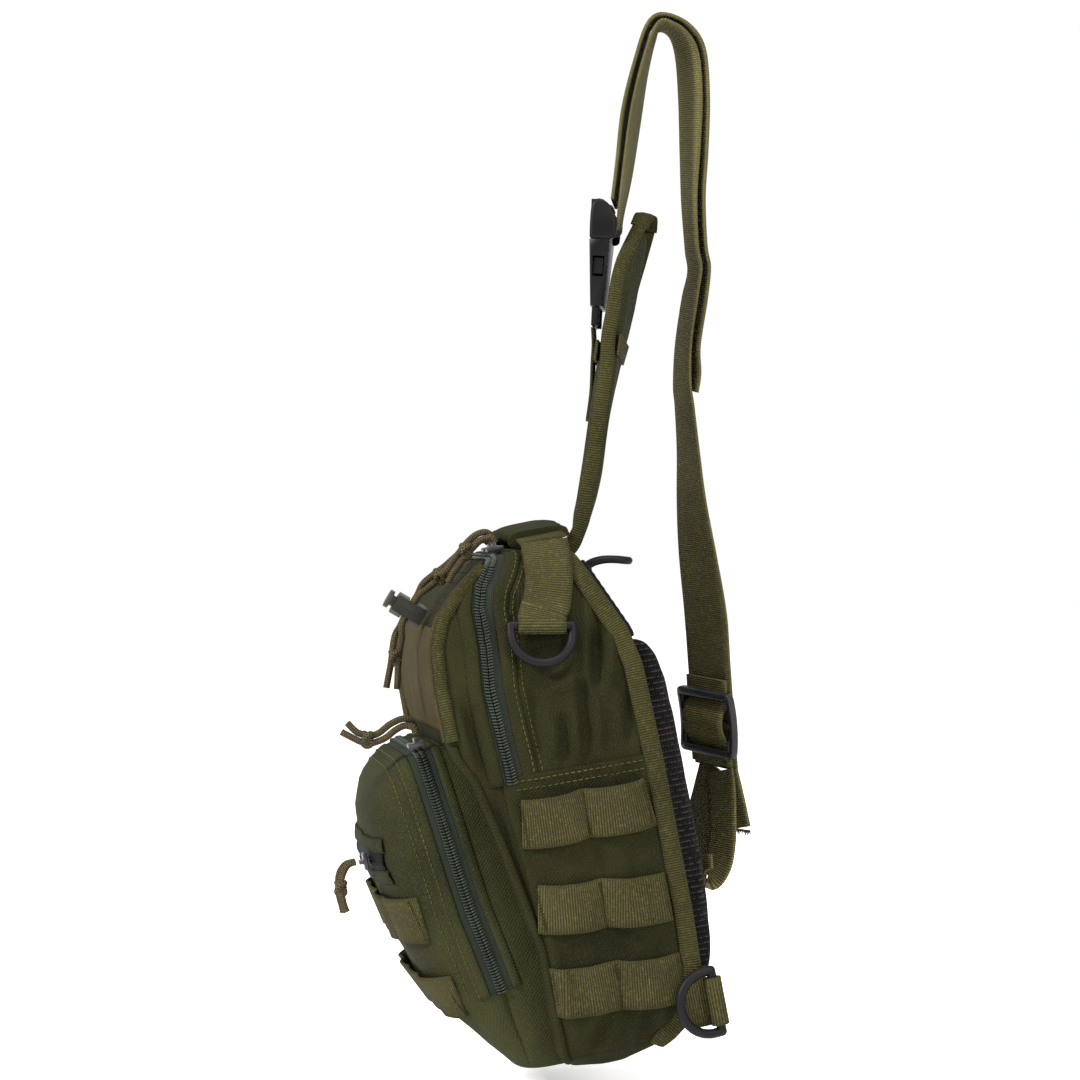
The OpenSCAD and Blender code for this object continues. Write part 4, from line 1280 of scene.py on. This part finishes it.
PAD_YAW = 12
PAD_FRONT, PAD_REAR = 6.6, -6.0
ribbons("pad_cross_band", ROWS, "pad_band", "row_webbing", 63,
        [pad_station(5, PAD_FRONT), pad_station(5.5, PAD_FRONT)], [pad_station(5, PAD_REAR), pad_station(5.5, PAD_REAR)])
ribbons("pad_anchor_strap", ROWS, "pad_webbing", "row_webbing", 25,
        [pad_station(4, PAD_FRONT), pad_station(4.5, 7), (-1, -39.2, -184, -12), (-1, -38.6, -174, -12),
         (-1, -39, -164.5, -12)])

# ---------- strap ----------
STRAP_ROUTE = [(1.2, -28.8, -99.3, -12), (0.9, -30.3, -105.7, -12), (0.8, -31, -109.7, -12), (0.9, -30.3, -111.8, -12),
               (1.3, -28.3, -112.8, -12), (1.8, -26.2, -112, -12), (2, -25.2, -110, -12), (2.1, -24.9, -105.5, -12),
               (2, -23.9, -98, -13), (1.2, -20.5, -78, -16), (0.3, -15.9, -48, -17), (0, -10.8, -22, -14),
               (0, -5.2, -3.4, -11), (0, 0, 0.8, -8), (0, 7.6, -3.6, 0), (-1, 12.8, -15, 7), (-3, 15, -38, 8),
               (-6, 15.3, -66, 5), (-9, 15.4, -92, 1), (-11.5, 17.3, -118, -1), (-13, 19.4, -131, 0),
               (-14.5, 17, -146, 2), (-17, 13.8, -171, 2), (-19, 13.4, -193, 3), (-20.5, 15, -206, 4),
               (-23, 17.6, -231, 7), (-26, 20, -258, 13), (-30, 24.2, -288, 21), (-34, 29.3, -320, 26),
               (-38, 32.2, -349, 26), (-42, 35.1, -378, 26), (-46, 38, -407, 26)]
RETURN_ROUTE = [(1.1, -28, -96.8, -13), (0.8, -24.4, -76, -16), (0.2, -20.8, -48, -17), (0, -15.4, -22, -14),
                (0, -8.8, -0.4, -11), (0, 0, 4.4, -8), (0, 10.2, -0.6, 0), (-1, 16.6, -13, 7), (-3, 19, -38, 8),
                (-6, 19.7, -66, 5), (-9, 20.3, -92, 0), (-11.5, 22.4, -118, -2), (-13, 24.4, -131, -1),
                (-14.5, 22.4, -148, 1), (-17, 18.6, -173, 2), (-18.5, 18.8, -188, 3), (-19.5, 17.8, -197, 3)]
ribbons("shoulder_strap", STRAP_PAINTED_LIT, "strap_webbing", "strap_webbing", STRAP_W, STRAP_ROUTE)
ribbons("shoulder_strap_return", STRAP_PAINTED_LIT, "strap_return", "strap_webbing", STRAP_W, RETURN_ROUTE)
LOWER_ROUTE = [(-46.2, 38.4, -408) + yawed(26), (-51, 34.8, -423) + yawed(22), (-58, 31.4, -441) + yawed(18),
               (-67, 30.2, -463) + yawed(10), (-77, 30.2, -484) + yawed(4), (-83, 27, -501, 0.95, 0, -0.3),
               (-86, 16, -511, 0.9, 0, -0.44), (-88, 3.5, -514, 0.9, 0, -0.44)]
TAIL_ROUTE = [(-39.5, 38.6, -409), (-38, 39.6, -420), (-36.5, 39.6, -434), (-36, 39.2, -448), (-36, 37, -461),
              (-37, 32, -469.5), (-39, 27.8, -467), (-40, 26.8, -456)]
TAIL_END_ROUTE = [(-38.5, 41.2, -410), (-37, 43.4, -420), (-35.5, 45.6, -431), (-34.5, 47.6, -441)]
TAIL_YAW, FRINGES = 24, 26
lower_strap = Build()
line = smooth(LOWER_ROUTE, 6)
lower_strap.sweep([row(*p[:3]) for p in line], [Vector(p[3:6]) for p in line], strap_profile(STRAP_W - 6, STRAP_T))
piece(lower_strap, "lower_strap", STRAP_PAINTED_LIT, "bag", ["strap_lower"])
tail = Build()
for route in (TAIL_ROUTE, TAIL_END_ROUTE):
    line = smooth(route, 6)
    tail.sweep([row(*p) for p in line], [yaw_across(TAIL_YAW)] * len(line), strap_profile(25, STRAP_T))
end, before = Vector(line[-1]) * MM, Vector(line[-3]) * MM
for k in range(FRINGES):
    across = (k / (FRINGES - 1) - 0.5) * 24
    stray = Vector((random.uniform(-0.3, 0.3), random.uniform(-0.4, 0.4), -1)) * 0.25 + (end - before).normalized()
    root = end + yaw_across(TAIL_YAW) * (across * MM)
    tail.tube([root, root + stray.normalized() * (random.uniform(1.5, 3.5) * MM)], 0.35, 5)
piece(tail, "strap_tail_loop", STRAP_PAINTED_LIT, "bag", ["strap_tail"])


def moulded(node, material, body, radius):
    """A moulded part: the CAD solid with its edges rounded."""
    mesh = cad_mesh(node, material)
    work = bmesh.new()
    work.from_mesh(mesh)
    bmesh.ops.remove_doubles(work, verts=work.verts, dist=0.01 * MM)
    bmesh.ops.dissolve_limit(work, angle_limit=math.radians(1.5), verts=work.verts, edges=work.edges)
    work.to_mesh(mesh)
    work.free()
    obj = add_object(node + "_moulded", mesh)
    bevel = obj.modifiers.new("edge", "BEVEL")
    bevel.width, bevel.segments, bevel.limit_method = radius * MM, 3, "ANGLE"
    bevel.angle_limit = math.radians(34)
    bevel.use_clamp_overlap = True
    apply_modifiers(obj)
    shade_smooth(obj)
    return claim(obj, body, [node])


def reshape(obj, place, change):
    """Moves an object's vertices by a change to their coordinates in a placed frame."""
    for vert in obj.data.vertices:
        local = place.inverted() @ vert.co
        change(local)
        vert.co = place @ local


def taper(local):
    local.y *= 1 - 0.42 * step(-local.z / MM, 14, 36)


def shorten(local):
    """Keeps the plunger's tip clear of its bore's floor at the end of its travel."""
    if local.z > -6 * MM:
        local.z -= 0.5 * MM


BUCKLE_PLACE = Matrix.Translation((0, -34.6 * MM, -118 * MM)) @ Matrix.Rotation(math.radians(-12), 4, "Z") \
    @ Matrix.Rotation(math.radians(-3), 4, "X")
reshape(moulded("buckle_socket", BUCKLE, "bag", 1.3), BUCKLE_PLACE, taper)
moulded("buckle_plug", BUCKLE, "bag", 1.3)
CHEEK = [(-5.5, 1), (-1, 0.4), (5, 0.4), (8, 1.4), (8.7, 4), (8.6, 9), (7.4, 14), (4.6, 18.6), (1, 21.3),
         (-2, 21.8), (-4.6, 20), (-5.5, 16), (-5.7, 8), (-5.5, 1)]
cheeks = Build()
outline = smooth(CHEEK, 4)[:-1]
for side in (1, -1):
    rings = []
    for x, inset in ((20.2, 0.5), (20.6, 0), (23.0, 0), (23.7, 0.6), (23.9, 1.6)):
        deep, tall = 1 - inset / 7, 1 - inset / 10.5
        rings.append([BUCKLE_PLACE @ (Vector((side * x, 1 + (y - 1) * deep, 11 + (z - 11) * tall)) * MM)
                      for y, z in outline])
    flat = [[0] * (len(outline) + 1)] * len(rings)
    cheeks.grid(rings, flat, flat, True)
    cheeks.cap(rings[0], side > 0)
    cheeks.cap(rings[-1], side < 0)
piece(cheeks, "buckle_cheeks", BUCKLE, "bag")
for latch in ("latch_left", "latch_right"):
    moulded(latch, BUCKLE, latch, 0.7)


def puller_place(x, y, z):
    """A place of the rear puller, from its joint with the slider."""
    return bag(50 + x, -16.3 + y, 251 + z)


PULLER = [(-2.4, 4, 1.2), (-2.9, 9, 3.2), (-3.2, 15, 3.6), (-3.2, 21, 2.6), (-2.4, 26, 1.2), (0, 28.4, 0.5),
          (2.4, 26, 1.2), (3.2, 21, 2.6), (3.2, 15, 3.6), (2.9, 9, 3.2), (2.4, 4, 1.2)]
PULLER_ROOT = [(0, 1.5, -5), (0, 3.6, -2), (0, 5.4, 1.2), (0, 6.8, 2.4)]
puller = Build()
puller.tube([puller_place(*p) for p in smooth(PULLER, 5)], 2.1, 12)
puller.tube([puller_place(*p) for p in PULLER_ROOT], [2.2, 3.4, 3.4, 2.0], 12)
piece(puller, "rear_pull_loop", BUCKLE, "rear_puller", ["rear_puller"])
rear_edge = Build()
for side in (1, -1):
    coil = [bag(side * (at(HALF_X, z) - 8), at(BACK_Y, z) + 2.2, z) for z in np.arange(214, 258, 2)]
    rear_edge.tube(coil, [2.1 + 0.25 * (k % 2) for k in range(len(coil))], 10)
piece(rear_edge, "rear_zip_edge", BLACK_TAPE, "bag")
for node, body in (("main_slider_left", "left_slider"), ("main_slider_right", "right_slider"),
                   ("pocket_slider", "pocket_slider"), ("slit_slider", "slit_slider")):
    moulded(node, METAL, body, 0.6)
LOCK_Z = -317.3
LOCK_PLACE = Matrix.Translation((26 * MM, -142.7 * MM, LOCK_Z * MM)) @ Matrix.Rotation(math.radians(-120), 4, "X")
moulded("cord_lock_barrel", LOCK, "right_slider", 0.25)
reshape(moulded("cord_lock_plunger", BUTTON, "lock_plunger", 0.25), LOCK_PLACE, shorten)
paint("rear_zip", BLACK_TAPE)
paint("back_sheet", FOAM)

# The webbing that wraps the triglide's middle bar, in the triglide's own frame.
STRAP_UP = (Vector(STRAP_ROUTE[-4][:3]) - Vector(STRAP_ROUTE[-1][:3])).normalized()
GLIDE_Z, GLIDE_YAW = -381, math.radians(26)
glide_at = Vector(STRAP_ROUTE[-1][:3]) + STRAP_UP * ((GLIDE_Z - STRAP_ROUTE[-1][2]) / STRAP_UP.z)
glide_back = math.asin(STRAP_UP.dot(Vector((math.sin(GLIDE_YAW), -math.cos(GLIDE_YAW), 0))))
glide_side = math.asin(STRAP_UP.dot(yaw_across(26)) / math.cos(glide_back))
glide_x = yaw_across(26) * math.cos(glide_side) - Vector((0, 0, math.sin(glide_side)))
glide_y = STRAP_UP.cross(glide_x)
frame_bars = Build()


def glide(x, y, z):
    return (glide_at + glide_x * x + glide_y * y) * MM + STRAP_UP * (z * MM)


OUTLINE = [(-22, 14), (-21.4, 15.6), (-19.5, 16.2), (0, 16.2), (19.5, 16.2), (21.4, 15.6), (22, 14), (22, 0), (22, -14),
           (21.4, -15.6), (19.5, -16.2), (0, -16.2), (-19.5, -16.2), (-21.4, -15.6), (-22, -14), (-22, 0), (-22, 14)]
bars = [(x, -4.6 + 1.4 * (1 - (z / 16.2) ** 2), z) for x, z in smooth(OUTLINE, 4)]
across = []
for k in range(len(bars)):
    a, b = bars[max(k - 1, 0)], bars[min(k + 1, len(bars) - 1)]
    way = Vector((b[0] - a[0], 0, b[2] - a[2])).normalized()
    across.append(glide_x * -way.z + STRAP_UP * way.x)
SECTION = [(-1.8, -2.2), (-2.2, -1.6), (-2.2, 1.6), (-1.8, 2.2), (1.8, 2.2), (2.2, 1.6), (2.2, -1.6), (1.8, -2.2)]
frame_bars.sweep([glide(*p) for p in bars], across, SECTION)
frame_bars.tube([glide(-21.5, -4.2, 0), glide(0, -4.2, 0), glide(21.5, -4.2, 0)], 2.0, 12)
piece(frame_bars, "triglide_frame", GLIDE, "triglide", ["triglide"])
wrap = Build()
WRAP = [(-2.6, -24), (-3.0, -15.5), (-5.2, -9), (-7.2, -4), (-7.7, 0), (-7.2, 4), (-5.2, 9), (-3.0, 15.5), (-2.6, 25)]
line = smooth(WRAP, 6)
wrap.sweep([(glide_at + glide_y * y + STRAP_UP * z) * MM for y, z in line], [glide_x] * len(line),
           strap_profile(36, 1.7))
piece(wrap, "triglide_wrap", STRAP_PAINTED_LIT, "triglide", ["triglide_loop"])

# ---------- zip pulls: cords, knots and the cord lock ----------
LEFT_PULL = [(44, -99, -281), (44, -102, -277.5), (44, -107.5, -278.5), (44, -112.5, -283), (44, -117, -288.5),
             (44, -121.5, -294.5), (44, -126, -300.5)]
RIGHT_PULL = [(26, -99, -281), (26, -104, -280), (26, -110, -284), (26, -116, -289.5), (26, -122, -295),
              (26, -128.5, -300), (26, -134.5, -305), (26, -139.2, -311.2), (26, -142.7, -317.3), (26, -146.2, -323.4),
              (26, -148.6, -332), (26, -150, -341), (26, -151, -350), (26, -152, -359)]
POCKET_PULL = [(60, -142.5, -381), (60, -144, -377), (60, -148.5, -375), (60, -154.5, -377.5), (60, -160.5, -382),
               (60, -167, -384), (60, -173.5, -382), (60, -180, -377.5)]
SLIT_PULL = [(40, -172.6, -449.5), (40, -177, -451), (40, -180, -455.5), (40, -181, -462), (40, -180, -469),
             (40, -178, -476)]


def knot(build, centre, radius):
    """A stopper knot: a cord wound in a trefoil, pulled tight."""
    c = row(*centre)
    pts = []
    for k in range(49):
        t = 2 * math.pi * k / 48
        local = Vector((math.sin(t) + 2 * math.sin(2 * t), -math.sin(3 * t) * 1.5, math.cos(t) - 2 * math.cos(2 * t)))
        pts.append(c + local * ((radius - 1.7) / 3 * MM))
    build.tube(pts, 1.75, 10)


def pull(name, body, stations, replaced, knots, knot_node=None, twisted=1.25):
    """Two strands side by side from the slider's eye to their tails, with their knots."""
    ball = Build()
    for centre in knots:
        knot(ball, centre, 5.4)
    knot_piece = None
    if knots:
        knot_piece = claim(ball.make(name + "_knots", CORD), body, [knot_node] if knot_node else ())
    line = smooth(stations, 6)
    for k, s in enumerate((-1, 1)):
        path = []
        for i, p in enumerate(line):
            t = i / (len(line) - 1)
            spread = CORD_D * 0.56 + 0.9 * step(t, 0.86, 1.0) + 0.3 * wander(t * 5, s, 0)
            ahead, behind = line[min(i + 1, len(line) - 1)], line[max(i - 1, 0)]
            way = Vector((0, ahead[1] - behind[1], ahead[2] - behind[2])).normalized()
            held = math.exp(-((p[2] - LOCK_Z) / 11) ** 4) if name == "right_pull" else 0.0
            twist = (1 - held) * twisted * step(t, 0.06, 0.3) + 0.25 * wander(t * 4, 2.0, 0)
            twist *= 1 - held
            aside = Vector((math.cos(twist), -way.z * math.sin(twist), way.y * math.sin(twist)))
            spread += (0.6 * CORD_D - spread) * held
            path.append(row(*p[:3]) + aside * (s * spread * MM))
        strand = Build()
        strand.tube(path, CORD_D / 2, 12)
        obj = claim(strand.make(f"{name}_strand_{k}", CORD), body, () if k else [replaced])


pull("left_pull", "left_slider", LEFT_PULL, "pull_cord_left", [(44, -114.5, -285.5)], "pull_knot_left")
pull("right_pull", "right_slider", RIGHT_PULL, "pull_cord_right", [(26, -126.5, -299), (26, -150.2, -342)],
     "pull_knots_right")
pull("pocket_pull", "pocket_slider", POCKET_PULL, "pocket_pull_cord", [(60, -168, -383.5)], "pocket_pull_knots")
pull("slit_pull", "slit_slider", SLIT_PULL, "slit_pull_cord", [(40, -180.2, -463)], twisted=0.3)

# ---------- floor ----------


def make_floor():
    mesh = bpy.data.meshes.new("floor")
    size, level = 9.0, CAD_BOX[0][2] - 0.02
    corners = [(-size, -size, level), (size, -size, level), (size, size, level), (-size, size, level)]
    mesh.from_pydata(corners, [], [(0, 1, 2, 3)])
    n = Nodes("floor", 0.9)
    n.shader.inputs["Base Color"].default_value = (0.93, 0.93, 0.93, 1)
    n.shader.inputs["Emission Color"].default_value = (1, 1, 1, 1)
    n.shader.inputs["Emission Strength"].default_value = 0.35
    mesh.materials.append(n.material)
    add_object("floor", mesh)


make_floor()
bpy.context.view_layer.update()
